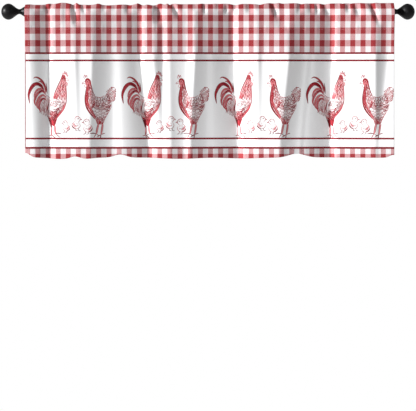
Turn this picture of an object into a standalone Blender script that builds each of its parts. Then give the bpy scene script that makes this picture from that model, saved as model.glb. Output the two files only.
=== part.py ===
"""Window valance gathered on a curtain rod, as four closed solids.

The frame is the rod's: the origin lies on the rod's axis at the middle of its length, X runs
along the rod, -Y faces the room and +Z is up. Sizes are in metres. The cloth's tables are in
millimetres, because they are read as small steps along a long cloth.

The cloth is one solid. Its sheet runs from the hem up the room side, over the rod, and down
behind it to a seam, where it is sewn to itself and so forms the rod pocket.
"""

import math
from typing import Callable, NamedTuple

import bmesh
import bpy
import numpy as np

MM = 0.001

# Rod and finials, turned about X.
ROD_RADIUS = 0.0127
ROD_HALF_LENGTH = 0.5409
SEAT_GAP = 0.0003
STUD_RADIUS = 0.0040
STUD_LENGTH = 0.0180
STUD_HOLE_RADIUS = STUD_RADIUS + SEAT_GAP
STUD_HOLE_DEPTH = STUD_LENGTH + 0.0010
ROD_SIDES = 48

BALL_RADIUS = 0.0243
BALL_NOSE = 0.0220
NECK_RADIUS = 0.00735
NECK_AT = 0.0540
COLLAR_RADIUS = 0.0160
COLLAR_AT = 0.0740
FINIAL_LENGTH = 0.0800
COLLAR_BEVEL = 0.0008
TAPER_POWER = 1.6
FINIAL_SIDES = 32
NOSE_STEPS = 7
TAPER_STEPS = 7
FLARE_STEPS = 5

# Cloth: its hung outline.
CLOTH_LEFT = -0.5484
CLOTH_RIGHT = 0.5577
HEM_HEIGHT = -0.4380
CREASE_LEFT = 0.0204
CREASE_RIGHT = 0.0266
CREASE_TOP = 0.0270
SEAM_TOP = -0.0500
SEAM_DEPTH = 0.0100

# Cloth: thicknesses, and how far its hems are turned up.
SHEET = 0.0014
HEMMED_SHEET = 0.0022
SEAM_LAYERS = 0.0020
BOTTOM_HEM = 0.0250
SIDE_HEM = 0.0120
HEM_RAMP = 0.0020
SIDE_HEM_SHARE = 0.9
CREASE_MITRE = 1.5

# Cloth: how it lies on the rod. The pocket stands off the collars' rims at its two mouths.
ROD_CLEARANCE = 0.0006
COLLAR_CLEARANCE = 0.0022
MOUTH_EASE = 0.0550
MOUTH_MARGIN = 0.0040
TAUT_LIMIT = 0.97

# Cloth: how the folds grow from the crease down, and how the rod pushes them to the room side.
# FOLD_FLOOR brings the deepest fold in front of the rod. Each *_FADE is the drop over which
# its effect falls to 1/e.
CREASE_SHARE = 0.05
GROWTH_FADE = 0.0290
FOLD_FLOOR = 0.0230
PUSH_FADE = 0.0550
PUSH_LEFT = 0.20
LEAD_FADE = 0.0900
FOLD_TOP = -0.1460
FOLD_BOTTOM = -0.3920
FOLD_ROUNDING = 0.0066
FOLD_SAMPLES = 9
FOLD_TAPER = 0.9
GATHER_FADE_ABOVE = 0.0100
GATHER_ONSET = 0.0120
GATHER_HOLD = 1.6
HEM_BEND_REACH = 0.0300

COLUMNS = 104
CROWDING = 0.9
BEND_WINDOW = 25
HANGING_ROWS = 7
FINE_SAMPLES = 2400


class FoldLine(NamedTuple):
    """One line where the cloth changes direction, in mm: place and stand-out at both ends.

    bow curves the stretch from this line to the next: above 0 it stays flat and then drops,
    below 0 it drops and then flattens out.
    """

    x_top: float
    out_top: float
    x_hem: float
    out_hem: float
    bow: float


FOLD_LINES = [
    FoldLine(-547.8, 2.0, -547.8, 3.0, 0.0),
    FoldLine(-537.0, 4.0, -525.0, 6.0, 1.0),
    FoldLine(-478.5, -15.0, -480.0, -9.0, 0.0),
    FoldLine(-469.5, 0.0, -456.0, 2.0, 0.0),
    FoldLine(-399.0, 13.0, -390.0, 12.0, 0.0),
    FoldLine(-387.0, 10.5, -384.0, 12.2, 0.0),
    FoldLine(-375.0, 11.0, -373.5, 12.8, 0.0),
    FoldLine(-346.5, 13.5, -354.0, 14.0, -0.6),
    FoldLine(-285.0, -2.0, -285.0, -1.0, 0.0),
    FoldLine(-267.0, -1.5, -258.0, 2.0, 0.8),
    FoldLine(-204.0, -19.0, -180.0, -15.0, 0.0),
    FoldLine(-193.5, -3.5, -156.0, -4.0, 0.0),
    FoldLine(-163.5, 2.0, -144.0, -1.0, 0.4),
    FoldLine(-135.0, -6.5, -133.5, 1.0, 0.0),
    FoldLine(-127.5, 0.0, -126.0, 3.0, 0.0),
    FoldLine(-115.5, 2.5, -111.0, 5.0, -0.8),
    FoldLine(-63.0, -3.5, -69.0, -1.0, 0.0),
    FoldLine(-40.5, 6.0, -54.0, 4.5, -0.2),
    FoldLine(0.0, -6.0, 0.0, -8.5, 0.0),
    FoldLine(9.0, -7.5, 9.0, -10.0, 0.2),
    FoldLine(76.5, -29.0, 93.0, -28.0, 0.0),
    FoldLine(87.0, -9.0, 106.0, -9.0, 0.0),
    FoldLine(150.0, 8.0, 150.0, 4.0, 0.0),
    FoldLine(160.5, 5.5, 160.5, 5.0, 0.0),
    FoldLine(171.0, 6.0, 171.0, 6.0, 0.0),
    FoldLine(243.0, 15.0, 216.0, 12.0, -0.5),
    FoldLine(297.0, -1.0, 276.0, -1.0, 0.0),
    FoldLine(312.0, -4.5, 288.0, -3.5, 0.3),
    FoldLine(372.0, -22.5, 369.0, -22.5, 0.0),
    FoldLine(381.0, -4.0, 385.5, -5.0, 0.0),
    FoldLine(502.5, 15.5, 502.5, 14.0, -0.7),
    FoldLine(537.0, 6.0, 513.0, 12.5, 0.0),
    FoldLine(557.4, 9.0, 557.4, 16.0, 0.0),
]


class Gather(NamedTuple):
    """One gather on the rod, in mm: where it is and how it runs down.

    groove is its depth in the room side, lean is how far it moves sideways over its reach, and
    width is half the width of its groove.
    """

    x: float
    groove: float
    lean: float
    reach: float
    width: float


GATHERS = [
    Gather(-525.0, 2.0, 4.0, 34.0, 9.0),
    Gather(-490.0, 5.0, 13.0, 40.0, 5.5),
    Gather(-468.0, 5.0, -10.0, 40.0, 5.5),
    Gather(-427.0, 3.0, 2.0, 90.0, 8.0),
    Gather(-403.0, 9.0, 10.0, 84.0, 8.0),
    Gather(-378.0, 6.0, 12.0, 42.0, 6.0),
    Gather(-355.0, 2.5, 2.0, 34.0, 8.0),
    Gather(-308.0, 3.5, -4.0, 36.0, 9.0),
    Gather(-281.0, 2.5, 2.0, 30.0, 8.0),
    Gather(-241.0, 5.0, 2.0, 42.0, 8.0),
    Gather(-203.0, 3.0, 3.0, 34.0, 6.0),
    Gather(-149.0, 11.0, -2.0, 76.0, 11.0),
        Gather(-108.0, 7.0, 26.0, 58.0, 7.0),
    Gather(-72.0, 2.5, -2.0, 30.0, 8.0),
    Gather(-40.0, 2.5, 2.0, 30.0, 8.0),
    Gather(-11.0, 6.0, 1.0, 42.0, 5.0),
    Gather(31.0, 3.0, -2.0, 30.0, 6.0),
    Gather(60.0, 6.0, -8.0, 40.0, 6.0),
    Gather(81.0, 5.0, 2.0, 38.0, 6.0),
    Gather(124.0, 6.0, 0.0, 42.0, 9.0),
    Gather(153.0, 2.5, 2.0, 30.0, 9.0),
    Gather(193.0, 8.0, 16.0, 54.0, 7.0),
    Gather(222.0, 6.0, 6.0, 120.0, 26.0),
    Gather(277.0, 5.0, -6.0, 40.0, 7.0),
    Gather(308.0, 4.5, 2.0, 40.0, 9.0),
    Gather(326.0, 6.5, 1.0, 42.0, 4.5),
    Gather(350.0, 4.0, 12.0, 52.0, 8.0),
    Gather(387.0, 2.5, 0.0, 30.0, 8.0),
    Gather(420.0, 7.0, 2.0, 40.0, 8.0),
    Gather(442.0, 8.0, 14.0, 54.0, 11.0),
    Gather(488.0, 9.0, 26.0, 76.0, 7.0),
    Gather(533.0, 2.0, 2.0, 30.0, 8.0),
]


class EdgeBend(NamedTuple):
    """One rise (or sag, below 0) of the hem or of the top crease, in mm, and half its width."""

    x: float
    rise: float
    width: float


HEM_BENDS = [
    EdgeBend(-548.0, 15.0, 17.0),
    EdgeBend(-444.0, -4.0, 40.0),
    EdgeBend(-399.0, 5.0, 18.0),
    EdgeBend(-363.0, -3.0, 24.0),
    EdgeBend(-264.0, 9.5, 24.0),
    EdgeBend(-84.0, -3.6, 70.0),
    EdgeBend(96.0, -3.0, 60.0),
    EdgeBend(267.0, 12.0, 34.0),
    EdgeBend(555.0, 9.5, 14.0),
]

CREASE_BENDS = [
    EdgeBend(-537.0, 1.5, 12.0),
    EdgeBend(-478.0, 3.5, 12.0),
    EdgeBend(-436.0, 7.0, 26.0),
    EdgeBend(-405.0, -2.5, 4.0),
    EdgeBend(-395.0, 5.5, 6.0),
    EdgeBend(-358.0, -1.0, 10.0),
    EdgeBend(-329.0, 4.0, 9.0),
    EdgeBend(-298.0, -2.5, 26.0),
    EdgeBend(-234.0, -2.5, 8.0),
    EdgeBend(-211.0, 3.5, 7.0),
    EdgeBend(-194.0, -3.5, 7.0),
    EdgeBend(-165.0, -3.5, 12.0),
    EdgeBend(-144.0, 2.5, 7.0),
    EdgeBend(-130.0, -1.0, 5.0),
    EdgeBend(-122.0, 2.5, 5.0),
    EdgeBend(-115.0, -3.0, 4.0),
    EdgeBend(-100.0, 1.5, 11.0),
    EdgeBend(-18.0, 1.5, 7.0),
    EdgeBend(23.0, 1.0, 7.0),
    EdgeBend(49.0, 1.0, 13.0),
    EdgeBend(83.0, -4.0, 12.0),
    EdgeBend(140.0, -1.0, 12.0),
    EdgeBend(156.0, -3.0, 9.0),
    EdgeBend(184.0, 2.0, 12.0),
    EdgeBend(212.0, 2.5, 8.0),
    EdgeBend(256.0, 1.5, 18.0),
    EdgeBend(281.0, -2.0, 7.0),
    EdgeBend(350.0, -3.0, 12.0),
    EdgeBend(404.0, -1.0, 4.0),
    EdgeBend(428.0, -1.0, 5.0),
    EdgeBend(452.0, 1.0, 14.0),
    EdgeBend(506.0, 1.5, 6.0),
]


def smooth_step(value: np.ndarray) -> np.ndarray:
    """Ease from 0 to 1 while value goes from 0 to 1, and hold the ends."""
    held = np.clip(value, 0.0, 1.0)
    return held * held * (3.0 - 2.0 * held)


def bump(distance: np.ndarray, width: float) -> np.ndarray:
    """A round bump of height 1 at distance 0, with its slopes at about width."""
    return np.exp(-((distance / width) ** 2))


# ---------------------------------------------------------------- the cloth's folds


def sharp_folds(x: np.ndarray, fall: np.ndarray) -> np.ndarray:
    """How far the folds stand out at x, still with sharp lines; fall is 0 above, 1 below."""
    lines = np.array(FOLD_LINES) * MM
    bows = lines[:, 4] / MM
    place = lines[:, 0, None] + (lines[:, 2] - lines[:, 0])[:, None] * fall
    stand = lines[:, 1, None] + (lines[:, 3] - lines[:, 1])[:, None] * fall
    held = np.clip(x, place[0], place[-1])
    index = np.clip((place <= held).sum(axis=0) - 1, 0, len(lines) - 2)
    column = np.arange(x.size)
    start, end = place[index, column], place[index + 1, column]
    share = np.clip((held - start) / (end - start), 0.0, 1.0)
    power = 1.0 + np.abs(bows[index])
    eased = np.where(bows[index] >= 0.0, share**power, 1.0 - (1.0 - share) ** power)
    low, high = stand[index, column], stand[index + 1, column]
    return low + (high - low) * eased


def folds(x: np.ndarray, z: np.ndarray) -> np.ndarray:
    """How far the folds stand out at x and height z, with rounded lines."""
    fall = np.clip((FOLD_TOP - z) / (FOLD_TOP - FOLD_BOTTOM), 0.0, 1.0)
    shifts = np.linspace(-1.0, 1.0, FOLD_SAMPLES)
    weights = np.cos(shifts * math.pi / 2.0 * FOLD_TAPER) ** 2
    weights = weights / weights.sum()
    return sum(
        weight * sharp_folds(x + shift * FOLD_ROUNDING, fall)
        for shift, weight in zip(shifts, weights)
    )


def grooves(x: np.ndarray, z: np.ndarray) -> np.ndarray:
    """Depth of the gathers' grooves at x and height z."""
    depth = np.zeros_like(x)
    onset = smooth_step((CREASE_TOP + GATHER_FADE_ABOVE - z) / GATHER_ONSET)
    for row in GATHERS:
        down = np.clip((CREASE_TOP - z) / (row.reach * MM), 0.0, 1.0)
        centre = row.x * MM + row.lean * MM * down
        run = smooth_step((1.0 - down) * GATHER_HOLD) * onset
        depth += row.groove * MM * run * bump(x - centre, row.width * MM)
    return depth


def edge_bends(x: np.ndarray, bends: list[EdgeBend]) -> np.ndarray:
    """How far an edge of the cloth is bent up at x."""
    return sum(row.rise * MM * bump(x - row.x * MM, row.width * MM) for row in bends)


def crease_height(x: np.ndarray) -> np.ndarray:
    """Height of the top crease."""
    share = (x - CLOTH_LEFT) / (CLOTH_RIGHT - CLOTH_LEFT)
    return CREASE_LEFT + (CREASE_RIGHT - CREASE_LEFT) * share + edge_bends(x, CREASE_BENDS)


def stand_off(x: np.ndarray, z: np.ndarray) -> np.ndarray:
    """How far the room side stands in front of the line that the rod gives it."""
    drop = np.maximum(CREASE_TOP - z, 0.0)
    share = 1.0 - (1.0 - CREASE_SHARE) * np.exp(-drop / GROWTH_FADE)
    below_rod = np.maximum(-ROD_RADIUS - z, 0.0)
    push = PUSH_LEFT + (1.0 - PUSH_LEFT) * np.exp(-below_rod / PUSH_FADE)
    return share * (folds(x, z) + FOLD_FLOOR * push)


def pocket_radius(x: np.ndarray) -> np.ndarray:
    """Radius of the cloth's outer skin round the rod, wider round the two collars."""
    on_rod = ROD_RADIUS + ROD_CLEARANCE + SHEET
    on_collar = COLLAR_RADIUS + COLLAR_CLEARANCE + SHEET
    collar_share = smooth_step((np.abs(x) - ROD_HALF_LENGTH + MOUTH_MARGIN + MOUTH_EASE) / MOUTH_EASE)
    return on_rod + (on_collar - on_rod) * collar_share


def room_lead(x: np.ndarray, z: np.ndarray) -> np.ndarray:
    """How far in front of the rod's axis the room side hangs below the rod, before its folds."""
    return pocket_radius(x) * np.exp(z / LEAD_FADE)


# ---------------------------------------------------------------- the cloth's rows


class Row(NamedTuple):
    """One line across the cloth: its depth and height for any place along the rod."""

    depth: Callable[[np.ndarray], np.ndarray]
    height: Callable[[np.ndarray], np.ndarray]


def hanging_row(nominal: float) -> Row:
    """A row of the single sheet below the pocket, at one height but for the hem's bends."""
    near_hem = float(smooth_step(np.array(1.0 - (nominal - HEM_HEIGHT) / HEM_BEND_REACH)))

    def height(x: np.ndarray) -> np.ndarray:
        return nominal + edge_bends(x, HEM_BENDS) * near_hem

    def depth(x: np.ndarray) -> np.ndarray:
        return -room_lead(x, height(x)) - stand_off(x, height(x))

    return Row(depth, height)


# Stations along the taut line from the crease down to the seam.
SHOULDER_STATION = 2.0
BELLY_STATION = 4.0
CLEAR_STATION = 5.0
SEAM_STATION = 7.0


def taut_line(x: np.ndarray, station: float) -> tuple[np.ndarray, np.ndarray]:
    """The taut line from the top crease round one side of the rod to the seam.

    Station 0 is the crease, the cloth lies on the rod from SHOULDER_STATION to BELLY_STATION,
    is clear of it from CLEAR_STATION on, and ends at SEAM_STATION. Returns the distance from
    the rod's middle plane and the height.
    """
    radius = pocket_radius(x)
    crease = crease_height(x)
    above = np.arccos(np.clip(radius / crease, 0.0, TAUT_LIMIT))
    below = math.pi - np.arccos(radius / -SEAM_TOP)
    on_rod = radius / np.cos((below - above) / 4.0)

    def rod_point(turn: np.ndarray) -> tuple[np.ndarray, np.ndarray]:
        return on_rod * np.sin(turn), on_rod * np.cos(turn)

    if station <= SHOULDER_STATION:
        side, height = rod_point(above)
        share = station / SHOULDER_STATION
        return side * share, crease + (height - crease) * share
    if station <= BELLY_STATION:
        share = (station - SHOULDER_STATION) / (BELLY_STATION - SHOULDER_STATION)
        return rod_point(above + (below - above) * share)
    side, height = rod_point(below)
    share = (station - BELLY_STATION) / (SEAM_STATION - BELLY_STATION)
    return side * (1.0 - share), height + (SEAM_TOP - height) * share


def pocket_row(station: float, room_side: bool) -> Row:
    """A row of the pocket, on its room side or behind the rod."""

    def height(x: np.ndarray) -> np.ndarray:
        return taut_line(x, station)[1]

    def room_depth(x: np.ndarray) -> np.ndarray:
        side, level = taut_line(x, station)
        off = stand_off(x, level) - grooves(x, level)
        if station > BELLY_STATION:
            side = room_lead(x, level)
        return -side - (np.maximum(off, 0.0) if station <= CLEAR_STATION else off)

    def back_depth(x: np.ndarray) -> np.ndarray:
        side, level = taut_line(x, station)
        to_crease = np.maximum(1.0 - station / SHOULDER_STATION, 0.0)
        past_rod = (station - CLEAR_STATION) / (SEAM_STATION - CLEAR_STATION)
        to_seam = float(smooth_step(np.array(past_rod)))
        crease_off = np.maximum(stand_off(x, crease_height(x)) - grooves(x, crease_height(x)), 0.0)
        seam = np.full_like(x, SEAM_TOP)
        seam_off = room_lead(x, seam) + stand_off(x, seam) - grooves(x, seam) - SHEET
        return side - crease_off * to_crease - seam_off * to_seam

    return Row(room_depth if room_side else back_depth, height)


def sheet_rows() -> tuple[list[Row], int, int]:
    """All rows from the hem over the rod to the seam; which are the seam's lower and the crease."""
    seam_bottom = SEAM_TOP - SEAM_DEPTH
    hem_top = HEM_HEIGHT + BOTTOM_HEM
    hanging = [HEM_HEIGHT, hem_top]
    hanging += list(np.linspace(hem_top + HEM_RAMP, seam_bottom, HANGING_ROWS))
    rows = [hanging_row(float(level)) for level in hanging]
    rows += [pocket_row(station, True) for station in (7.0, 6.0, 5.0, 4.0, 3.0, 2.0, 1.0, 0.0)]
    crease = len(rows) - 1
    rows += [pocket_row(station, False) for station in (1.0, 2.0, 3.0, 4.0, 5.0, 6.0)]
    return rows, len(hanging) - 1, crease


def column_marks(row: Row) -> np.ndarray:
    """Shares of the cloth's flat width where columns stand, closer together where it bends."""
    x = np.linspace(CLOTH_LEFT, CLOTH_RIGHT, FINE_SAMPLES)
    depth = row.depth(x)
    slope = np.gradient(depth, x)
    bend = np.abs(np.gradient(slope, x))
    bend = np.convolve(bend, np.ones(BEND_WINDOW) / BEND_WINDOW, mode="same")
    crowd = np.cumsum(1.0 + CROWDING * bend / bend.mean())
    crowd = (crowd - crowd[0]) / (crowd[-1] - crowd[0])
    length = arc_length(x, depth)
    marks = np.interp(np.linspace(0.0, 1.0, COLUMNS), crowd, length / length[-1])
    side = SIDE_HEM / length[-1]
    ramp = HEM_RAMP / length[-1]
    inner = marks[(marks > side + 2.0 * ramp) & (marks < 1.0 - side - 2.0 * ramp)]
    left = [0.0, side, side + ramp]
    return np.array(left + list(inner) + [1.0 - mark for mark in reversed(left)])


def arc_length(x: np.ndarray, depth: np.ndarray) -> np.ndarray:
    """Running length of the line x, depth."""
    steps = np.hypot(np.diff(x), np.diff(depth))
    return np.concatenate(([0.0], np.cumsum(steps)))


def outer_skin(rows: list[Row], marks: np.ndarray) -> np.ndarray:
    """Points of the sheet's outer skin, rows by columns by xyz; a column follows one thread."""
    x = np.linspace(CLOTH_LEFT, CLOTH_RIGHT, FINE_SAMPLES)
    skin = np.zeros((len(rows), len(marks), 3))
    for number, row in enumerate(rows):
        depth, height = row.depth(x), row.height(x)
        length = arc_length(x, depth)
        share = length / length[-1]
        for axis, values in enumerate((x, depth, height)):
            skin[number, :, axis] = np.interp(marks, share, values)
    return skin


def skin_normals(skin: np.ndarray) -> np.ndarray:
    """Unit vectors out of the skin: towards the room in front, up at the crease."""
    along = np.gradient(skin, axis=1)
    up = np.gradient(skin, axis=0)
    normal = np.cross(along, up)
    return normal / np.linalg.norm(normal, axis=2, keepdims=True)


def wall_thickness(skin: np.ndarray, marks: np.ndarray, crease_row: int) -> np.ndarray:
    """Thickness behind each point: doubled hems, and a mitre under the crease."""
    wall = np.full(skin.shape[:2], SHEET)
    wall[:2, :] = HEMMED_SHEET
    width = CLOTH_RIGHT - CLOTH_LEFT
    in_side_hem = np.minimum(marks, 1.0 - marks) * width <= SIDE_HEM
    wall[:, in_side_hem] = np.maximum(wall[:, in_side_hem], HEMMED_SHEET * SIDE_HEM_SHARE)
    wall[crease_row, :] = SHEET * CREASE_MITRE
    return wall


# ---------------------------------------------------------------- solids


def new_object(name: str, vertices: list, faces: list, material: bpy.types.Material) -> None:
    """Link one closed solid, with its faces turned outwards."""
    mesh = bpy.data.meshes.new(name)
    mesh.from_pydata(vertices, [], faces)
    work = bmesh.new()
    work.from_mesh(mesh)
    bmesh.ops.recalc_face_normals(work, faces=work.faces[:])
    work.to_mesh(mesh)
    work.free()
    mesh.materials.append(material)
    mesh.shade_smooth()
    mesh.set_sharp_from_angle(angle=math.radians(40.0))
    bpy.context.collection.objects.link(bpy.data.objects.new(name, mesh))


def make_cloth(material: bpy.types.Material) -> None:
    """The valance: one sheet, its rod pocket, its seam and its hems in one solid."""
    rows, seam_row, crease_row = sheet_rows()
    marks = column_marks(hanging_row((FOLD_TOP + FOLD_BOTTOM) / 2.0))
    skin = outer_skin(rows, marks)
    normals = skin_normals(skin)
    wall = wall_thickness(skin, marks, crease_row)[:, :, None]
    inner = skin - normals * wall
    pocket_row_index = seam_row + 1
    seam_wall = wall[seam_row : seam_row + 2] + SEAM_LAYERS
    seam_back = skin[seam_row : seam_row + 2] - normals[seam_row : seam_row + 2] * seam_wall

    count = len(marks)
    outer_rows = [number * count for number in range(len(rows))]
    inner_rows = [(len(rows) + number) * count for number in range(len(rows))]
    ledge, seam_end = (2 * len(rows)) * count, (2 * len(rows) + 1) * count
    vertices = np.concatenate((skin.reshape(-1, 3), inner.reshape(-1, 3), seam_back.reshape(-1, 3)))

    outer_path = outer_rows + [seam_end, ledge]
    bands = list(zip(outer_path, outer_path[1:]))
    bands.append((ledge, inner_rows[seam_row]))
    bands += list(zip(inner_rows[:seam_row], inner_rows[1 : seam_row + 1]))
    bands.append((outer_rows[0], inner_rows[0]))
    pocket_path = inner_rows[pocket_row_index:]
    bands += list(zip(pocket_path, pocket_path[1:]))
    bands.append((pocket_path[-1], pocket_path[0]))

    faces = []
    for low, high in bands:
        for column in range(count - 1):
            faces.append((low + column, low + column + 1, high + column + 1))
            faces.append((low + column, high + column + 1, high + column))
    walls = list(zip(outer_rows, inner_rows)) + [(seam_end, inner_rows[pocket_row_index])]
    for column in (0, count - 1):
        for (low_out, low_in), (high_out, high_in) in zip(walls, walls[1:]):
            faces.append(tuple(start + column for start in (low_out, high_out, high_in, low_in)))
        block = (inner_rows[seam_row], inner_rows[pocket_row_index], seam_end, ledge)
        faces.append(tuple(start + column for start in block))
    new_object("valance_cloth", vertices.tolist(), faces, material)


def turn(name: str, outline: list, sides: int, material: bpy.types.Material) -> None:
    """Turn an outline of (x, radius) points about X; its first and last points are on the axis."""
    vertices = [(outline[0][0], 0.0, 0.0), (outline[-1][0], 0.0, 0.0)]
    faces = []
    rings = outline[1:-1]
    for x, radius in rings:
        for side in range(sides):
            angle = 2.0 * math.pi * side / sides
            vertices.append((x, radius * math.cos(angle), radius * math.sin(angle)))
    for side in range(sides):
        following = (side + 1) % sides
        faces.append((0, 2 + side, 2 + following))
        last = 2 + (len(rings) - 1) * sides
        faces.append((1, last + following, last + side))
        for ring in range(len(rings) - 1):
            near, far = 2 + ring * sides, 2 + (ring + 1) * sides
            faces.append((near + side, far + side, far + following, near + following))
    new_object(name, vertices, faces, material)


def make_rod(material: bpy.types.Material) -> None:
    """The rod: a plain round bar, with a blind hole in each end for a finial's stud."""
    half = [
        (ROD_HALF_LENGTH - STUD_HOLE_DEPTH, 0.0),
        (ROD_HALF_LENGTH - STUD_HOLE_DEPTH, STUD_HOLE_RADIUS),
        (ROD_HALF_LENGTH, STUD_HOLE_RADIUS),
        (ROD_HALF_LENGTH, ROD_RADIUS),
    ]
    outline = [(-x, radius) for x, radius in half] + list(reversed(half))
    turn("rod", outline, ROD_SIDES, material)


def finial_outline() -> list[tuple[float, float]]:
    """The finial's outline from its tip inwards: ball, taper, neck, flare, collar and stud."""
    outline = [(0.0, 0.0)]
    for step in range(1, NOSE_STEPS + 1):
        turned = math.pi / 2.0 * step / NOSE_STEPS
        outline.append((BALL_NOSE * (1.0 - math.cos(turned)), BALL_RADIUS * math.sin(turned)))
    for step in range(1, TAPER_STEPS + 1):
        share = step / TAPER_STEPS
        swell = max(math.cos(math.pi / 2.0 * share), 0.0) ** TAPER_POWER
        radius = NECK_RADIUS + (BALL_RADIUS - NECK_RADIUS) * swell
        outline.append((BALL_NOSE + (NECK_AT - BALL_NOSE) * share, radius))
    for step in range(1, FLARE_STEPS + 1):
        share = step / FLARE_STEPS
        radius = NECK_RADIUS + (COLLAR_RADIUS - NECK_RADIUS) * math.sin(math.pi / 2.0 * share) ** 2
        outline.append((NECK_AT + (COLLAR_AT - NECK_AT) * share, radius))
    outline.append((FINIAL_LENGTH - COLLAR_BEVEL, COLLAR_RADIUS))
    outline.append((FINIAL_LENGTH, COLLAR_RADIUS - COLLAR_BEVEL))
    outline.append((FINIAL_LENGTH, STUD_RADIUS))
    outline.append((FINIAL_LENGTH + STUD_LENGTH, STUD_RADIUS))
    outline.append((FINIAL_LENGTH + STUD_LENGTH, 0.0))
    return outline


def make_finials(material: bpy.types.Material) -> None:
    """The two finials, each seated on the rod's end with its stud in the rod's hole."""
    tip = ROD_HALF_LENGTH + SEAT_GAP + FINIAL_LENGTH
    for name, sign in (("finial_left", -1.0), ("finial_right", 1.0)):
        outline = [(sign * (tip - inward), radius) for inward, radius in finial_outline()]
        turn(name, outline, FINIAL_SIDES, material)


def make_material(name: str, colour: tuple, roughness: float, metallic: float) -> bpy.types.Material:
    """A plain finish."""
    material = bpy.data.materials.new(name)
    material.use_nodes = True
    shader = material.node_tree.nodes["Principled BSDF"]
    shader.inputs["Base Color"].default_value = (*colour, 1.0)
    shader.inputs["Roughness"].default_value = roughness
    shader.inputs["Metallic"].default_value = metallic
    return material


def main() -> None:
    """Clear the scene and build the valance, the rod and its finials."""
    for thing in list(bpy.data.objects):
        bpy.data.objects.remove(thing, do_unlink=True)
    make_cloth(make_material("woven_cloth", (0.86, 0.72, 0.72), 0.85, 0.0))
    make_rod(make_material("black_rod_paint", (0.012, 0.012, 0.013), 0.38, 0.0))
    make_finials(make_material("black_finial_paint", (0.012, 0.012, 0.013), 0.32, 0.0))


main()
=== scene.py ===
"""A printed window valance gathered on a curtain rod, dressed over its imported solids.

The frame is the rod's: X runs along the rod, -Y faces the room, +Z is up, and the origin is on
the rod's axis. Lengths are in metres. The tables of folds, gathers and birds are in millimetres,
because they are read as small steps along a long cloth.
"""

import logging
import math
from dataclasses import dataclass, field
from enum import Enum, IntEnum
from functools import partial
from typing import NamedTuple

import bpy
import numpy as np
from mathutils import Euler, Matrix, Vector

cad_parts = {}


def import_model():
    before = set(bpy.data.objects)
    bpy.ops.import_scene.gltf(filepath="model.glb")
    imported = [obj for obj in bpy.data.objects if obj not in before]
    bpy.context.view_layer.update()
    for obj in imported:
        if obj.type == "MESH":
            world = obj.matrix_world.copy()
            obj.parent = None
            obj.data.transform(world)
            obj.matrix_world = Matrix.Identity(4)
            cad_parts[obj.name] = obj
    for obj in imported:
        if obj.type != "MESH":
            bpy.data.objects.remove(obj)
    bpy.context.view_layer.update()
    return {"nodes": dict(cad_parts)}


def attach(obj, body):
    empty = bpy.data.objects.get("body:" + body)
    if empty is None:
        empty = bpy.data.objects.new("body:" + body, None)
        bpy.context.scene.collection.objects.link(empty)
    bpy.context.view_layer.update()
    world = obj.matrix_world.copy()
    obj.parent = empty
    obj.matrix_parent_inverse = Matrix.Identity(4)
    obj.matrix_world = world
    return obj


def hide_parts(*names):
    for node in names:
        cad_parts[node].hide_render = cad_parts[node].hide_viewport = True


Array = np.ndarray
Node = bpy.types.Node
Socket = bpy.types.NodeSocket
Material = bpy.types.Material

LOG = logging.getLogger("valance")
MM = 0.001
TINY = 1e-12
BODY = "root"


# ---- the cloth's tables


class FoldLine(NamedTuple):
    """One line where the cloth changes direction, in mm: place and stand-out at both ends.

    bow curves the stretch from this line to the next: above 0 it stays flat and then drops,
    below 0 it drops and then flattens out.
    """

    x_top: float
    out_top: float
    x_hem: float
    out_hem: float
    bow: float


FOLD_LINES = [FoldLine(*row) for row in (
    (-547.8, 2, -547.8, 3, 0), (-537, 4, -525, 6, 1), (-478.5, -15, -480, -9, 0),
    (-469.5, 0, -456, 2, 0), (-399, 13, -390, 12, 0), (-387, 10.5, -384, 12.2, 0),
    (-375, 11, -373.5, 12.8, 0), (-346.5, 13.5, -354, 14, -0.6), (-285, -2, -285, -1, 0),
    (-267, -1.5, -258, 2, 0.8), (-204, -19, -180, -15, 0), (-193.5, -3.5, -156, -4, 0),
    (-163.5, 2, -144, -1, 0.4), (-135, -6.5, -133.5, 1, 0), (-127.5, 0, -126, 3, 0),
    (-115.5, 2.5, -111, 5, -0.8), (-63, -3.5, -69, -1, 0), (-40.5, 6, -54, 4.5, -0.2),
    (0, -6, 0, -8.5, 0), (9, -7.5, 9, -10, 0.2), (76.5, -29, 93, -28, 0), (87, -9, 106, -9, 0),
    (150, 8, 150, 4, 0), (160.5, 5.5, 160.5, 5, 0), (171, 6, 171, 6, 0), (243, 15, 216, 12, -0.5),
    (297, -1, 276, -1, 0), (312, -4.5, 288, -3.5, 0.3), (372, -22.5, 369, -22.5, 0),
    (381, -4, 385.5, -5, 0), (502.5, 15.5, 502.5, 14, -0.7), (537, 6, 513, 12.5, 0),
    (557.4, 9, 557.4, 16, 0),
)]


class Gather(NamedTuple):
    """One gather on the rod, in mm: where it is and how it runs down.

    groove is its depth in the room side, lean is how far it moves sideways over its reach, and
    width is half the width of its groove.
    """

    x: float
    groove: float
    lean: float
    reach: float
    width: float


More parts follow.
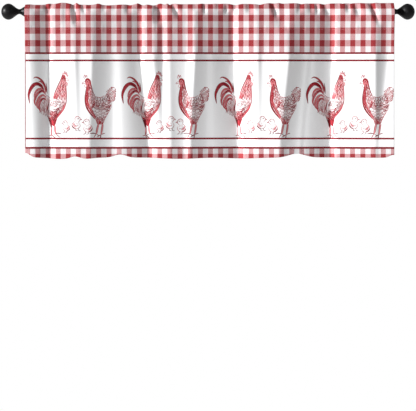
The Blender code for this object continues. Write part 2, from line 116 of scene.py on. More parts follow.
GATHERS = [Gather(*row) for row in (
    (-525, 2, 4, 34, 9), (-490, 5, 13, 40, 5.5), (-468, 5, -10, 40, 5.5), (-427, 3, 2, 90, 8),
    (-403, 9, 10, 84, 8), (-378, 6, 12, 42, 6), (-355, 2.5, 2, 34, 8), (-308, 3.5, -4, 36, 9),
    (-281, 2.5, 2, 30, 8), (-241, 5, 2, 42, 8), (-203, 3, 3, 34, 6), (-149, 11, -2, 76, 11),
    (-108, 7, 26, 58, 7), (-72, 2.5, -2, 30, 8), (-40, 2.5, 2, 30, 8), (-11, 6, 1, 42, 5),
    (31, 3, -2, 30, 6), (60, 6, -8, 40, 6), (81, 5, 2, 38, 6), (124, 6, 0, 42, 9), (153, 2.5, 2, 30, 9),
    (193, 8, 16, 54, 7), (222, 6, 6, 120, 26), (277, 5, -6, 40, 7), (308, 4.5, 2, 40, 9),
    (326, 6.5, 1, 42, 4.5), (350, 4, 12, 52, 8), (387, 2.5, 0, 30, 8), (420, 7, 2, 40, 8),
    (442, 8, 14, 54, 11), (488, 9, 26, 76, 7), (533, 2, 2, 30, 8),
)]


class EdgeBend(NamedTuple):
    """One rise (or sag, below 0) of the hem or of the top crease, in mm, and half its width."""

    x: float
    rise: float
    width: float


HEM_BENDS = [EdgeBend(*row) for row in (
    (-548, 15, 17), (-444, -4, 40), (-399, 5, 18), (-363, -3, 24), (-264, 9.5, 24), (-84, -3.6, 70),
    (96, -3, 60), (267, 12, 34), (555, 9.5, 14),
)]

CREASE_BENDS = [EdgeBend(*row) for row in (
    (-537, 1.5, 12), (-478, 3.5, 12), (-436, 7, 26), (-405, -2.5, 4), (-395, 5.5, 6), (-358, -1, 10),
    (-329, 4, 9), (-298, -2.5, 26), (-234, -2.5, 8), (-211, 3.5, 7), (-194, -3.5, 7), (-165, -3.5, 12),
    (-144, 2.5, 7), (-130, -1, 5), (-122, 2.5, 5), (-115, -3, 4), (-100, 1.5, 11), (-18, 1.5, 7),
    (23, 1, 7), (49, 1, 13), (83, -4, 12), (140, -1, 12), (156, -3, 9), (184, 2, 12), (212, 2.5, 8),
    (256, 1.5, 18), (281, -2, 7), (350, -3, 12), (404, -1, 4), (428, -1, 5), (452, 1, 14),
    (506, 1.5, 6),
)]


# ---- small helpers


def smooth_step(value: Array) -> Array:
    """Ease from 0 to 1 while value goes from 0 to 1, and hold the ends."""
    held = np.clip(value, 0.0, 1.0)
    return held * held * (3.0 - 2.0 * held)


def bump(distance: Array, width: float) -> Array:
    """A round bump of height 1 at distance 0, with its slopes at about width."""
    return np.exp(-((distance / width) ** 2))


def running_length(points: Array) -> Array:
    """Measure how far each point lies along its line.

    Args:
        points: points along the last-but-one axis.

    Returns:
        The length run so far at each point, from 0.
    """
    steps = np.linalg.norm(np.diff(points, axis=-2), axis=-1)
    start = np.zeros(steps.shape[:-1] + (1,))
    return np.concatenate((start, np.cumsum(steps, axis=-1)), axis=-1)


def unit(vectors: Array) -> Array:
    """The vectors along the last axis, each of length 1."""
    return vectors / np.maximum(np.linalg.norm(vectors, axis=-1, keepdims=True), TINY)


def left_of(line: Array) -> Array:
    """The unit vector to the left of a flat line at each of its points."""
    run = unit(np.gradient(line, axis=0))
    return np.stack((-run[:, 1], run[:, 0]), axis=-1)


def curve_through(points: list | tuple | Array, count: int) -> Array:
    """Points on a smooth curve that passes through the given points.

    Args:
        points: at least two points, as pairs or triples.
        count: how many points to return, evenly spread from knot to knot.

    Returns:
        An array of count points.
    """
    knots = np.asarray(points, dtype=float)
    padded = np.vstack((2.0 * knots[0] - knots[1], knots, 2.0 * knots[-1] - knots[-2]))
    place = np.linspace(0.0, len(knots) - 1.0, count)
    span = np.minimum(place.astype(int), len(knots) - 2)
    t = (place - span)[:, None]
    before, start, end, after = (padded[span + step] for step in range(4))
    linear = (end - before) * t
    square = (2.0 * before - 5.0 * start + 4.0 * end - after) * t**2
    cube = (3.0 * start - before - 3.0 * end + after) * t**3
    return 0.5 * (2.0 * start + linear + square + cube)


def new_mesh(name: str, points: list, faces: list, *materials: Material) -> bpy.types.Mesh:
    """Make a mesh.

    Args:
        name: its name.
        points: its points.
        faces: its faces, as indices of points.
        materials: its materials, in the order of their indices.

    Returns:
        The mesh.
    """
    mesh = bpy.data.meshes.new(name)
    mesh.from_pydata(points, [], faces)
    for material in materials:
        mesh.materials.append(material)
    return mesh


def add_object(name: str, data: bpy.types.ID) -> bpy.types.Object:
    """Put a new object into the scene.

    Args:
        name: its name.
        data: its mesh, lamp or camera.

    Returns:
        The object.
    """
    made = bpy.data.objects.new(name, data)
    bpy.context.scene.collection.objects.link(made)
    return made


def connect(value: object, socket: Socket) -> None:
    """Feed a socket.

    Args:
        value: an output to link, or a number, word, colour or material to set.
        socket: the input that gets it.
    """
    if isinstance(value, Socket):
        socket.id_data.links.new(value, socket)
    else:
        socket.default_value = value


def add_node(tree: bpy.types.NodeTree, kind: str, feeds: dict | None = None, **settings: object) -> Node:
    """Add a node to a tree.

    Args:
        tree: the tree.
        kind: the node's type.
        feeds: what its inputs get, by name or number.
        settings: its attributes.

    Returns:
        The node.
    """
    made = tree.nodes.new(kind)
    for key, value in settings.items():
        setattr(made, key, value)
    for key, value in (feeds or {}).items():
        connect(value, made.inputs[key])
    return made


# ---- the cloth's form


@dataclass(frozen=True)
class ClothForm:
    """The hung form of the cloth: its solid's rules and sizes, with calmer folds in the heading.

    A station is a place round the rod pocket: 0 at the top crease, shoulder to belly on the rod,
    and seam where the pocket is sewn. Up to the station clear no fold sinks into the rod.
    """

    rod_radius: float = 0.0127
    rod_half_length: float = 0.5409
    collar_radius: float = 0.0160
    left: float = -0.5484
    right: float = 0.5577
    hem_height: float = -0.4380
    crease_left: float = 0.0204
    crease_right: float = 0.0266
    crease_top: float = 0.0270
    seam_top: float = -0.0500
    seam_depth: float = 0.0100
    solid_sheet: float = 0.0014
    rod_clearance: float = 0.0006
    collar_clearance: float = 0.0022
    mouth_ease: float = 0.0550
    mouth_margin: float = 0.0040
    crease_share: float = 0.05
    growth_fade: float = 0.0290
    fold_floor: float = 0.0230
    push_fade: float = 0.0550
    push_left: float = 0.20
    lead_fade: float = 0.0900
    fold_top: float = -0.1460
    fold_bottom: float = -0.3920
    fold_rounding: float = 0.0066
    rounding_samples: int = 9
    rounding_taper: float = 0.9
    heading_from: float = -0.1480
    heading_rise: float = 0.0600
    heading_calm: float = 0.28
    heading_ease: float = 0.8
    gather_fade: float = 0.0100
    gather_onset: float = 0.0120
    gather_hold: float = 1.6
    hem_bend_reach: float = 0.0300
    shoulder: float = 2.0
    belly: float = 4.0
    clear: float = 5.0
    seam: float = 7.0
    steepest: float = 0.97

    def sharp_folds(self, x: Array, fall: Array) -> Array:
        """How far the folds stand out, still with sharp lines.

        Args:
            x: places along the rod.
            fall: 0 at the folds' top and 1 at their bottom.

        Returns:
            The stand-out at each place.
        """
        *ends, bow = np.array(FOLD_LINES).T
        x_top, out_top, x_hem, out_hem = (column[:, None] * MM for column in ends)
        place = x_top + (x_hem - x_top) * fall
        stand = out_top + (out_hem - out_top) * fall
        held = np.clip(x, place[0], place[-1])
        index = np.clip((place <= held).sum(axis=0) - 1, 0, len(bow) - 2)
        column = np.arange(x.size)
        start, end = place[index, column], place[index + 1, column]
        share = np.clip((held - start) / (end - start), 0.0, 1.0)
        power = 1.0 + np.abs(bow[index])
        eased = np.where(bow[index] >= 0.0, share**power, 1.0 - (1.0 - share) ** power)
        low, high = stand[index, column], stand[index + 1, column]
        return low + (high - low) * eased

    def folds(self, x: Array, z: Array) -> Array:
        """How far the folds stand out, with rounded lines, and calmer in the heading.

        Args:
            x: places along the rod.
            z: heights.

        Returns:
            The stand-out at each place.
        """
        fall = np.clip((self.fold_top - z) / (self.fold_top - self.fold_bottom), 0.0, 1.0)
        heading = smooth_step((z - self.heading_from) / self.heading_rise)
        spread = self.fold_rounding * (1.0 + self.heading_ease * heading)
        shifts = np.linspace(-1.0, 1.0, self.rounding_samples)
        weights = np.cos(shifts * math.pi / 2.0 * self.rounding_taper) ** 2
        parts = [self.sharp_folds(x + shift * spread, fall) for shift in shifts]
        stand = np.tensordot(weights / weights.sum(), np.array(parts), axes=1)
        return stand * (1.0 - self.heading_calm * heading)

    def grooves(self, x: Array, z: Array) -> Array:
        """Depth of the gathers' grooves.

        Args:
            x: places along the rod.
            z: heights.

        Returns:
            The depth at each place.
        """
        depth = np.zeros_like(x)
        onset = smooth_step((self.crease_top + self.gather_fade - z) / self.gather_onset)
        for row in GATHERS:
            down = np.clip((self.crease_top - z) / (row.reach * MM), 0.0, 1.0)
            centre = row.x * MM + row.lean * MM * down
            run = smooth_step((1.0 - down) * self.gather_hold) * onset
            depth += row.groove * MM * run * bump(x - centre, row.width * MM)
        return depth

    def edge_bends(self, x: Array, bends: list[EdgeBend]) -> Array:
        """How far an edge of the cloth is bent up at x."""
        return sum(row.rise * MM * bump(x - row.x * MM, row.width * MM) for row in bends)

    def crease_height(self, x: Array) -> Array:
        """Height of the top crease at x."""
        level = np.interp(x, (self.left, self.right), (self.crease_left, self.crease_right))
        return level + self.edge_bends(x, CREASE_BENDS)

    def stand_off(self, x: Array, z: Array) -> Array:
        """How far the room side stands in front of the line that the rod gives it.

        Args:
            x: places along the rod.
            z: heights.

        Returns:
            The distance at each place.
        """
        drop = np.maximum(self.crease_top - z, 0.0)
        share = 1.0 - (1.0 - self.crease_share) * np.exp(-drop / self.growth_fade)
        below_rod = np.maximum(-self.rod_radius - z, 0.0)
        push = self.push_left + (1.0 - self.push_left) * np.exp(-below_rod / self.push_fade)
        return share * (self.folds(x, z) + self.fold_floor * push)

    def pocket_radius(self, x: Array) -> Array:
        """Radius of the cloth's printed face round the rod, wider round the two collars.

        Args:
            x: places along the rod.

        Returns:
            The radius at each place.
        """
        on_rod = self.rod_radius + self.rod_clearance + self.solid_sheet
        on_collar = self.collar_radius + self.collar_clearance + self.solid_sheet
        past = np.abs(x) - self.rod_half_length + self.mouth_margin + self.mouth_ease
        return on_rod + (on_collar - on_rod) * smooth_step(past / self.mouth_ease)

    def room_lead(self, x: Array, z: Array) -> Array:
        """How far in front of the rod's axis the room side hangs, before its folds."""
        return self.pocket_radius(x) * np.exp(z / self.lead_fade)

    def taut_line(self, x: Array, station: float) -> tuple[Array, Array]:
        """The taut line from the top crease round one side of the rod to the seam.

        Args:
            x: places along the rod.
            station: the station along that line.

        Returns:
            The distance from the rod's middle plane, and the height.
        """
        radius = self.pocket_radius(x)
        crease = self.crease_height(x)
        above = np.arccos(np.clip(radius / crease, 0.0, self.steepest))
        below = math.pi - np.arccos(radius / -self.seam_top)
        if station <= self.shoulder:
            share = station / self.shoulder
            side, height = radius * np.sin(above), radius * np.cos(above)
            return side * share, crease + (height - crease) * share
        if station <= self.belly:
            share = (station - self.shoulder) / (self.belly - self.shoulder)
            angle = above + (below - above) * share
            return radius * np.sin(angle), radius * np.cos(angle)
        share = (station - self.belly) / (self.seam - self.belly)
        side, height = radius * np.sin(below), radius * np.cos(below)
        return side * (1.0 - share), height + (self.seam_top - height) * share

    def hanging_row(self, x: Array, level: float) -> Array:
        """One row of the single sheet.

        Args:
            x: places along the rod.
            level: the row's height, before the hem's bends.

        Returns:
            The row's points.
        """
        to_hem = 1.0 - (level - self.hem_height) / self.hem_bend_reach
        height = level + self.edge_bends(x, HEM_BENDS) * smooth_step(np.array(to_hem))
        depth = -self.room_lead(x, height) - self.stand_off(x, height)
        return np.stack((x, depth, height), axis=-1)

    def room_row(self, x: Array, station: float) -> Array:
        """One row of the pocket's room side.

        Args:
            x: places along the rod.
            station: the row's station.

        Returns:
            The row's points.
        """
        side, height = self.taut_line(x, station)
        off = self.stand_off(x, height) - self.grooves(x, height)
        if station > self.belly:
            side = self.room_lead(x, height)
        held = np.maximum(off, 0.0) if station <= self.clear else off
        return np.stack((x, -side - held, height), axis=-1)

    def back_row(self, x: Array, station: float, stack: Array) -> Array:
        """One row of the pocket behind the rod.

        Args:
            x: places along the rod.
            station: the row's station.
            stack: how far the row lies behind the room side at the seam.

        Returns:
            The row's points.
        """
        side, height = self.taut_line(x, station)
        crease = self.crease_height(x)
        to_crease = max(1.0 - station / self.shoulder, 0.0)
        to_seam = float(smooth_step(np.array((station - self.clear) / (self.seam - self.clear))))
        crease_off = np.maximum(self.stand_off(x, crease) - self.grooves(x, crease), 0.0)
        seam = np.full_like(x, self.seam_top)
        seam_off = self.room_lead(x, seam) + self.stand_off(x, seam) - self.grooves(x, seam)
        depth = side - crease_off * to_crease - (seam_off - stack) * to_seam
        return np.stack((x, depth, height), axis=-1)


# ---- finishes


class Graph:
    """Builds one material's nodes: every method adds a node and returns its output."""

    def __init__(self, name: str) -> None:
        """Start a material with one Principled shader.

        Args:
            name: the material's name.
        """
        self.material = bpy.data.materials.new(name)
        self.material.use_nodes = True
        self.tree = self.material.node_tree
        self.shader = self.tree.nodes["Principled BSDF"]

    def node(self, kind: str, feeds: dict | None = None, **settings: object) -> Node:
        """Add a node to the material."""
        return add_node(self.tree, kind, feeds, **settings)

    def math(self, operation: str, *values: object) -> Socket:
        """Work out one operation on one or two values."""
        return self.node("ShaderNodeMath", dict(enumerate(values)), operation=operation).outputs[0]

    def product(self, *values: object) -> Socket:
        """Multiply two values."""
        return self.math("MULTIPLY", *values)

    def total(self, *values: object) -> Socket:
        """Add two values."""
        return self.math("ADD", *values)

    def place(self) -> Socket:
        """The place on the object, in metres."""
        return self.node("ShaderNodeTexCoord").outputs["Object"]

    def uv(self, name: str) -> tuple[Socket, Socket]:
        """The two coordinates of a UV map."""
        place = self.node("ShaderNodeUVMap", uv_map=name).outputs[0]
        return tuple(self.node("ShaderNodeSeparateXYZ", {0: place}).outputs)[:2]

    def join(self, x: object, y: object) -> Socket:
        """A flat vector of two values."""
        return self.node("ShaderNodeCombineXYZ", {0: x, 1: y}).outputs[0]

    def noise(self, where: object, scale: float, detail: float = 2.0) -> Socket:
        """Noise between 0 and 1 at a vector, scale blotches to a unit of it, with finer detail."""
        feeds = {"Vector": where, "Scale": scale, "Detail": detail}
        return self.node("ShaderNodeTexNoise", feeds).outputs[0]

    def ramp(
        self, value: object, low: float, high: float, first: float = 0.0, last: float = 1.0
    ) -> Socket:
        """Map the range from low to high to the one from first to last, and hold the ends."""
        feeds = dict(enumerate((value, low, high, first, last)))
        return self.node("ShaderNodeMapRange", feeds).outputs[0]

    def mix(self, share: object, first: object, second: object) -> Socket:
        """Mix two colours.

        Args:
            share: 0 for the first only, and 1 for the second only.
            first: one colour.
            second: the other colour.

        Returns:
            The mixed colour.
        """
        made = self.node("ShaderNodeMix", {"Factor": share}, data_type="RGBA")
        colours = [socket for socket in made.inputs if socket.type == "RGBA"]
        connect(first, colours[0])
        connect(second, colours[1])
        return next(socket for socket in made.outputs if socket.type == "RGBA")

    def band(self, value: object, low: float, high: float) -> Socket:
        """1 where value lies between low and high."""
        above = self.math("GREATER_THAN", value, low)
        return self.product(above, self.math("LESS_THAN", value, high))

    def bump(self, height: object, strength: float, distance: float) -> None:
        """Bump the shader by strength of a height, where a height of 1 is distance deep."""
        made = self.node("ShaderNodeBump", {"Height": height, "Strength": strength, "Distance": distance})
        connect(made.outputs[0], self.shader.inputs["Normal"])

    def finish(self, colour: object, roughness: object, specular: float) -> Material:
        """Feed the shader.

        Args:
            colour: its base colour.
            roughness: its roughness.
            specular: its specular level.

        Returns:
            The material.
        """
        connect(colour, self.shader.inputs["Base Color"])
        connect(roughness, self.shader.inputs["Roughness"])
        connect(specular, self.shader.inputs["Specular IOR Level"])
        return self.material


@dataclass(frozen=True)
class PrintLayout:
    """Where the printed bands lie on the cloth, as heights in metres, and the check's sizes."""

    flat_width: float
    repeats: float = 36.3
    column_share: float = 0.485
    row_pitch: float = 0.0375
    row_share: float = 0.50
    upper_row_top: float = -0.0108
    upper_end: float = -0.1220
    lines: tuple = (
        (-0.1277, -0.1220),
        (-0.1496, -0.1441),
        (-0.3838, -0.3785),
        (-0.4121, -0.4061),
    )
    lower_start: float = -0.4121
    lower_row_top: float = -0.4272
    edge_line: float = 0.0016
    spare: int = 8


@dataclass(frozen=True)
class ClothFinish:
    """Plain-woven cloth, printed on its face; the print shows faintly through on the reverse.

    A wear is a range of the noise and the range of ink or ground that it gives.
    """

    layout: PrintLayout
    white: tuple = (0.90, 0.90, 0.905, 1.0)
    dull_white: tuple = (0.86, 0.86, 0.87, 1.0)
    # greyer ground of both check bands: partly painted shade, standing in for the shade near the rod
    checked_white_painted_shade: tuple = (0.77, 0.755, 0.765, 1.0)
    reverse_white: tuple = (0.88, 0.87, 0.865, 1.0)
    dark: tuple = (0.290, 0.0035, 0.0085, 1.0)
    light: tuple = (0.50, 0.187, 0.200, 1.0)
    line: tuple = (0.21, 0.013, 0.020, 1.0)
    wear_noise: tuple = (420.0, 3.0)
    ink_wear: tuple = (0.25, 0.75, 0.84, 1.02)
    dark_wear: tuple = (0.2, 0.8, 0.80, 1.0)
    ground_wear: tuple = (0.3, 0.7, 0.0, 1.0)
    thread: float = 0.00062
    thread_edge: float = 0.35
    thread_shade: float = 0.74
    weave_height: float = 0.18
    slub_long: float = 0.011
    slub_scale: float = 0.8
    slub_height: float = 0.8
    relief: tuple = (0.22, 0.00035)
    roughness: float = 0.62
    specular: float = 0.16
    reverse_roughness: float = 0.68
    reverse_specular: float = 0.3
    show_through: float = 0.24

    def printed(self) -> Material:
        """The face of the cloth."""
        cloth = PrintedCloth("printed_cloth_face", self)
        return cloth.graph.finish(cloth.dyed(), self.roughness, self.specular)

    def reverse(self) -> Material:
        """The back of the cloth, where the print shows through."""
        cloth = PrintedCloth("printed_cloth_reverse", self)
        colour = cloth.graph.mix(self.show_through, self.reverse_white, cloth.dyed())
        return cloth.graph.finish(colour, self.reverse_roughness, self.reverse_specular)


class PrintedCloth:
    """Weaves and prints one side of the cloth, at its flat place u and its height v."""

    def __init__(self, name: str, finish: ClothFinish) -> None:
        """Start the material with its weave.

        Args:
            name: the material's name.
            finish: the cloth's colours and threads.
        """
        self.graph, self.finish, self.layout = Graph(name), finish, finish.layout
        self.u, self.v = self.graph.uv(ClothSheet.PRINT_MAP)
        self.weave()

    def crossing(self) -> Socket:
        """The plain weave: 1 where an upright thread lies on top, and -1 where it dips."""
        turn, graph = 2.0 * math.pi / self.finish.thread, self.graph
        return graph.product(*(graph.math("SINE", graph.product(way, turn)) for way in (self.u, self.v)))

    def weave(self) -> None:
        """Raise the plain weave, with a few thicker threads each way."""
        graph, finish, slubs = self.graph, self.finish, []
        for across, along in ((finish.slub_long, finish.thread), (finish.thread, finish.slub_long)):
            where = graph.join(graph.math("DIVIDE", self.u, across), graph.math("DIVIDE", self.v, along))
            slubs.append(graph.noise(where, finish.slub_scale))
        thick = graph.product(graph.total(*slubs), finish.slub_height)
        cross = graph.product(self.crossing(), finish.weave_height)
        graph.bump(graph.total(cross, thick), *finish.relief)

    def stripes(self, run: object, pitch: float, share: float) -> Socket:
        """1 on the first share of every pitch of a running length."""
        repeat = self.graph.math("FRACT", self.graph.math("DIVIDE", run, pitch))
        return self.graph.math("LESS_THAN", repeat, share)

    def columns(self) -> Socket:
        """1 on the check's upright stripes; spare repeats keep the turned edge above 0."""
        pitch = self.layout.flat_width / self.layout.repeats
        ahead = self.graph.total(self.u, self.layout.spare * pitch)
        return self.stripes(ahead, pitch, self.layout.column_share)

    def rows(self, upper: Socket, lower: Socket) -> Socket:
        """The check's level stripes.

        Args:
            upper: 1 in the upper check.
            lower: 1 in the lower check.

        Returns:
            1 on the level stripes of both.
        """
        graph, lay = self.graph, self.layout
        ahead = lay.spare * lay.row_pitch
        upper_top = graph.product(upper, lay.upper_row_top + ahead)
        lower_top = graph.product(lower, lay.lower_row_top + ahead)
        down = graph.math("SUBTRACT", graph.total(upper_top, lower_top), self.v)
        return self.stripes(down, lay.row_pitch, lay.row_share)

    def lines(self) -> Socket:
        """Draw the border lines and the line down each side.

        Returns:
            1 on a line, and 0 off it.
        """
        graph, lay = self.graph, self.layout
        lines = graph.band(self.u, -lay.edge_line, lay.edge_line)
        lines = graph.product(lines, graph.band(self.v, lay.lower_start, lay.upper_end))
        for low, high in lay.lines:
            lines = graph.math("MAXIMUM", lines, graph.band(self.v, low, high))
        return lines

    def dyed(self) -> Socket:
        """Dye the face: its ground, its check and its lines; the checks' greyer ground is partly painted
        shade.

        Returns:
            The colour.
        """
        graph, finish = self.graph, self.finish
        upper = graph.math("GREATER_THAN", self.v, self.layout.upper_end)
        lower = graph.math("LESS_THAN", self.v, self.layout.lower_start)
        checked = graph.math("MAXIMUM", upper, lower)
        columns, rows = self.columns(), self.rows(upper, lower)
        both = graph.product(checked, graph.product(columns, rows))
        either = graph.product(checked, graph.math("MAXIMUM", columns, rows))
        edge = finish.thread_edge
        threads = graph.ramp(self.crossing(), -edge, edge, finish.thread_shade, 1.0)
        worn = graph.noise(graph.join(self.u, self.v), *finish.wear_noise)
        ink = graph.product(threads, graph.ramp(worn, *finish.ink_wear))
        ground = graph.mix(graph.ramp(worn, *finish.ground_wear), finish.white, finish.dull_white)
        # the check bands take the greyer ground, which is partly painted shade for the shade near the rod
        ground = graph.mix(checked, ground, finish.checked_white_painted_shade)
        colour = graph.mix(graph.product(either, ink), ground, finish.light)
        deep = graph.product(both, graph.ramp(worn, *finish.dark_wear))
        return graph.mix(self.lines(), graph.mix(deep, colour, finish.dark), finish.line)


@dataclass(frozen=True)
class InkFinish:
    """Printing ink on cloth, from pale to deep with the stroke's tone, and a little uneven."""

    TONE = "ink_tone"

    name: str
    pale: tuple = (0.74, 0.29, 0.31, 1.0)
    full: tuple = (0.46, 0.026, 0.040, 1.0)
    deep: tuple = (0.11, 0.003, 0.008, 1.0)
    blotches: tuple = (160.0, 3.0)
    uneven: tuple = (0.3, 0.7, -0.10, 0.06)
    grain: float = 1500.0
    relief: tuple = (0.15, 0.0002)
    roughness: float = 0.65
    specular: float = 0.15

    def material(self) -> Material:
        """Mix the ink.

        Returns:
            Its material.
        """
        graph = Graph(self.name)
        where = graph.place()
        uneven = graph.ramp(graph.noise(where, *self.blotches), *self.uneven)
        tone = graph.node("ShaderNodeAttribute", attribute_name=self.TONE).outputs["Fac"]
        graph.bump(graph.noise(where, self.grain), *self.relief)
        tone = graph.total(tone, uneven)
        light = graph.mix(graph.ramp(tone, 0.0, 0.5), self.pale, self.full)
        colour = graph.mix(graph.ramp(tone, 0.5, 1.0), light, self.deep)
        return graph.finish(colour, self.roughness, self.specular)


@dataclass(frozen=True)
class PaintFinish:
    """Satin black paint on metal, with the faint mottle of a sprayed coat."""

    name: str
    colour: tuple = (0.0035, 0.0035, 0.0038, 1.0)
    dusty: tuple = (0.0075, 0.0075, 0.0080, 1.0)
    mottle: tuple = (90.0, 4.0)
    dust: tuple = (0.35, 0.7)
    gloss: tuple = (0.3, 0.7, 0.34, 0.50)
    coat: float = 900.0
    relief: tuple = (0.16, 0.0003)
    specular: float = 0.20

    def material(self) -> Material:
        """Mix the paint.

        Returns:
            Its material.
        """
        graph = Graph(self.name)
        where = graph.place()
        mottle = graph.noise(where, *self.mottle)
        graph.bump(graph.noise(where, self.coat), *self.relief)
        colour = graph.mix(graph.ramp(mottle, *self.dust), self.colour, self.dusty)
        return graph.finish(colour, graph.ramp(mottle, *self.gloss), self.specular)


@dataclass(frozen=True)
class ThreadFinish:
    """Sewing thread with its ply lines, and painted shade in the grooves between them."""

    name: str = "sewing_thread"
    colour: tuple = (0.80, 0.71, 0.71, 1.0)
    # darker colour of the ply grooves: painted shade
    shade: tuple = (0.60, 0.51, 0.51, 1.0)
    ply: float = 900.0
    relief: tuple = (0.4, 0.0001)
    roughness: float = 0.5
    specular: float = 0.4

    def material(self) -> Material:
        """Spin the thread.

        Returns:
            Its material.
        """
        graph = Graph(self.name)
        feeds = {"Vector": graph.place(), "Scale": self.ply}
        ply = graph.node("ShaderNodeTexWave", feeds, bands_direction="DIAGONAL").outputs[1]
        graph.bump(ply, *self.relief)
        # the ply grooves take the darker colour: painted shade
        return graph.finish(graph.mix(ply, self.shade, self.colour), self.roughness, self.specular)


# ---- the cloth as a sheet


class Run(NamedTuple):
    """How the turned hems run across one way of the sheet, with a row (or column) for each item.

    base is the flat row that it lies on, angle how far it is folded over, from 0 to pi, and bulge
    which way its fold swells out.
    """

    base: Array
    angle: Array
    bulge: Array


@dataclass
class ClothSheet:
    """The valance as one thin sheet: printed face, reverse, turned hems and the sewn pocket.

    The rows near the hem and near the seam stand in mm from them, so that they follow the sewing.
    """

    PRINT_MAP = "PrintPlace"
    BAKE_MAP = "OFBake"

    form: ClothForm = field(default_factory=ClothForm)
    thickness: float = 0.0006
    layer_gap: float = 0.0001
    hem_turn: float = 0.0250
    side_turn: float = 0.0120
    seam_turn: float = 0.0050
    turn_steps: int = 4
    slack: float = 0.000001
    columns: int = 336
    fine_samples: int = 2600
    near_hem: tuple = (0.0, 3.0, 7.0, 12.0, 17.0, 20.5, 22.5, 25.0, 28.0)
    near_seam: tuple = (-3.0, -1.5, 0.0, 1.5, 3.0, 4.5, 6.0, 7.5, 9.0)
    hanging_rows: int = 44
    hanging_from: float = 0.034
    hanging_to: float = 0.006
    room_step: float = 0.25
    back_step: float = 0.4
    crown_stations: tuple = (0.75, 0.5, 0.3, 0.15, 0.05)
    crown_rows: int = 14
    crown_passes: int = 3
    crown_skip: int = 20
    flap_drops: tuple = (0.003, 0.0065, 0.010)
    pucker: float = 0.00045
    pucker_waves: tuple = (1.9, 2.7, 3.9)
    pucker_reach: float = 0.011
    hem_pucker: float = 0.7
    dimple: float = 0.0005
    seam_sewn: float = 0.003
    hem_pucker_at: float = 0.022
    hem_sewn: float = 0.0225
    seam_dimple: float = 0.0016
    hem_dimple: float = 0.0018
    bake_margin: float = 0.004
    bake_wide: float = 0.992
    bake_half: float = 0.484
    bake_face: float = 0.508
    bake_rim: tuple = (0.496, 0.503)

    def __post_init__(self) -> None:
        """Work out the sheet's points before its hems are turned."""
        self.layer = self.thickness + self.layer_gap
        self.column_x = self.column_places()
        self.shares = (self.column_x - self.form.left) / (self.form.right - self.form.left)
        self.base, self.front_rows = self.base_points()
        along = np.gradient(self.base, axis=1)
        up = np.gradient(self.base, axis=0)
        self.normal = unit(np.cross(along, up))
        self.along, self.up = unit(along), unit(up)

    def column_places(self) -> Array:
        """Where the columns stand along the rod.

        Returns:
            Their places, evenly spread over the cloth's own width half way down its folds.
        """
        form = self.form
        x = np.linspace(form.left, form.right, self.fine_samples)
        line = form.hanging_row(x, (form.fold_top + form.fold_bottom) / 2.0)
        length = running_length(line)
        self.flat_width = float(length[-1])
        return np.interp(np.linspace(0.0, self.flat_width, self.columns), length, line[:, 0])

    def edge_share(self, shares: Array) -> Array:
        """1 within a side hem's turn of either edge, and 0 further in."""
        inward = np.minimum(shares, 1.0 - shares) * self.flat_width
        return smooth_step((self.side_turn + 2.0 * self.layer - inward) / (2.0 * self.layer))

    def hanging_levels(self) -> list[float]:
        """Space the rows of the single sheet, closer together at its two seams.

        Returns:
            Their heights.
        """
        hem, seam_low = self.form.hem_height, self.form.seam_top - self.form.seam_depth
        low = [hem + step * MM for step in self.near_hem]
        high = [seam_low + step * MM for step in self.near_seam]
        middle = np.linspace(hem + self.hanging_from, seam_low - self.hanging_to, self.hanging_rows)
        return low + list(middle) + high

    def puckered(self, points: Array) -> Array:
        """Pucker the room side beside the pocket's seam and the hem.

        Args:
            points: one row of it.

        Returns:
            The row with its puckers, and with a dimple along each line of stitches.
        """
        x = points[:, 0]
        waves = sum(np.sin(x / (step * MM) + step) for step in self.pucker_waves) / len(self.pucker_waves)
        from_seam = points[:, 2] - self.form.seam_top
        from_hem = points[:, 2] - self.form.hem_height
        near = bump(from_seam + self.seam_sewn, self.pucker_reach)
        near = near + self.hem_pucker * bump(from_hem - self.hem_pucker_at, self.pucker_reach)
        dimple = bump(from_seam + self.seam_sewn, self.seam_dimple)
        dimple = dimple + bump(from_hem - self.hem_sewn, self.hem_dimple)
        moved = points.copy()
        moved[:, 1] += self.pucker * waves * near + self.dimple * dimple
        return moved

    def base_points(self) -> tuple[Array, int]:
        """Printed face of the sheet, rows by columns, from the hem over the rod to the seam.

        Returns:
            The points, and how many of the rows are on the room side.
        """
        form, x = self.form, self.column_x
        tilt = np.gradient(form.hanging_row(x, form.seam_top)[:, 1], x)
        stack = (2.0 * self.layer + self.thickness) * np.sqrt(1.0 + tilt**2)
        stack = stack + 3.0 * self.layer * self.edge_share(self.shares)
        room = np.arange(form.seam, 1.0 - self.room_step / 2.0, -self.room_step)
        behind = np.arange(1.0, form.seam + self.back_step / 2.0, self.back_step)
        lines = [self.puckered(form.hanging_row(x, level)) for level in self.hanging_levels()]
        lines += [self.puckered(form.room_row(x, station)) for station in room]
        lines += [form.room_row(x, station) for station in self.crown_stations]
        front = len(lines)
        lines += [form.back_row(x, station, stack) for station in (*self.crown_stations[::-1], *behind)]
        for drop in self.flap_drops:
            below = form.hanging_row(x, form.seam_top - drop)
            below[:, 1] += stack
            lines.append(below)
        points = np.array(lines)
        crown = slice(front - self.crown_rows, front + self.crown_rows)
        for _ in range(self.crown_passes):
            eased = (points[:-2] + 2.0 * points[1:-1] + points[2:]) / 4.0
            points[crown] = eased[crown.start - 1 : crown.stop - 1]
        return points, front

    def fold_angles(self) -> list[float]:
        """Angles round one folded edge, from folded over to flat."""
        return list(math.pi * (1.0 - np.arange(1, self.turn_steps + 1) / (self.turn_steps + 1.0)))

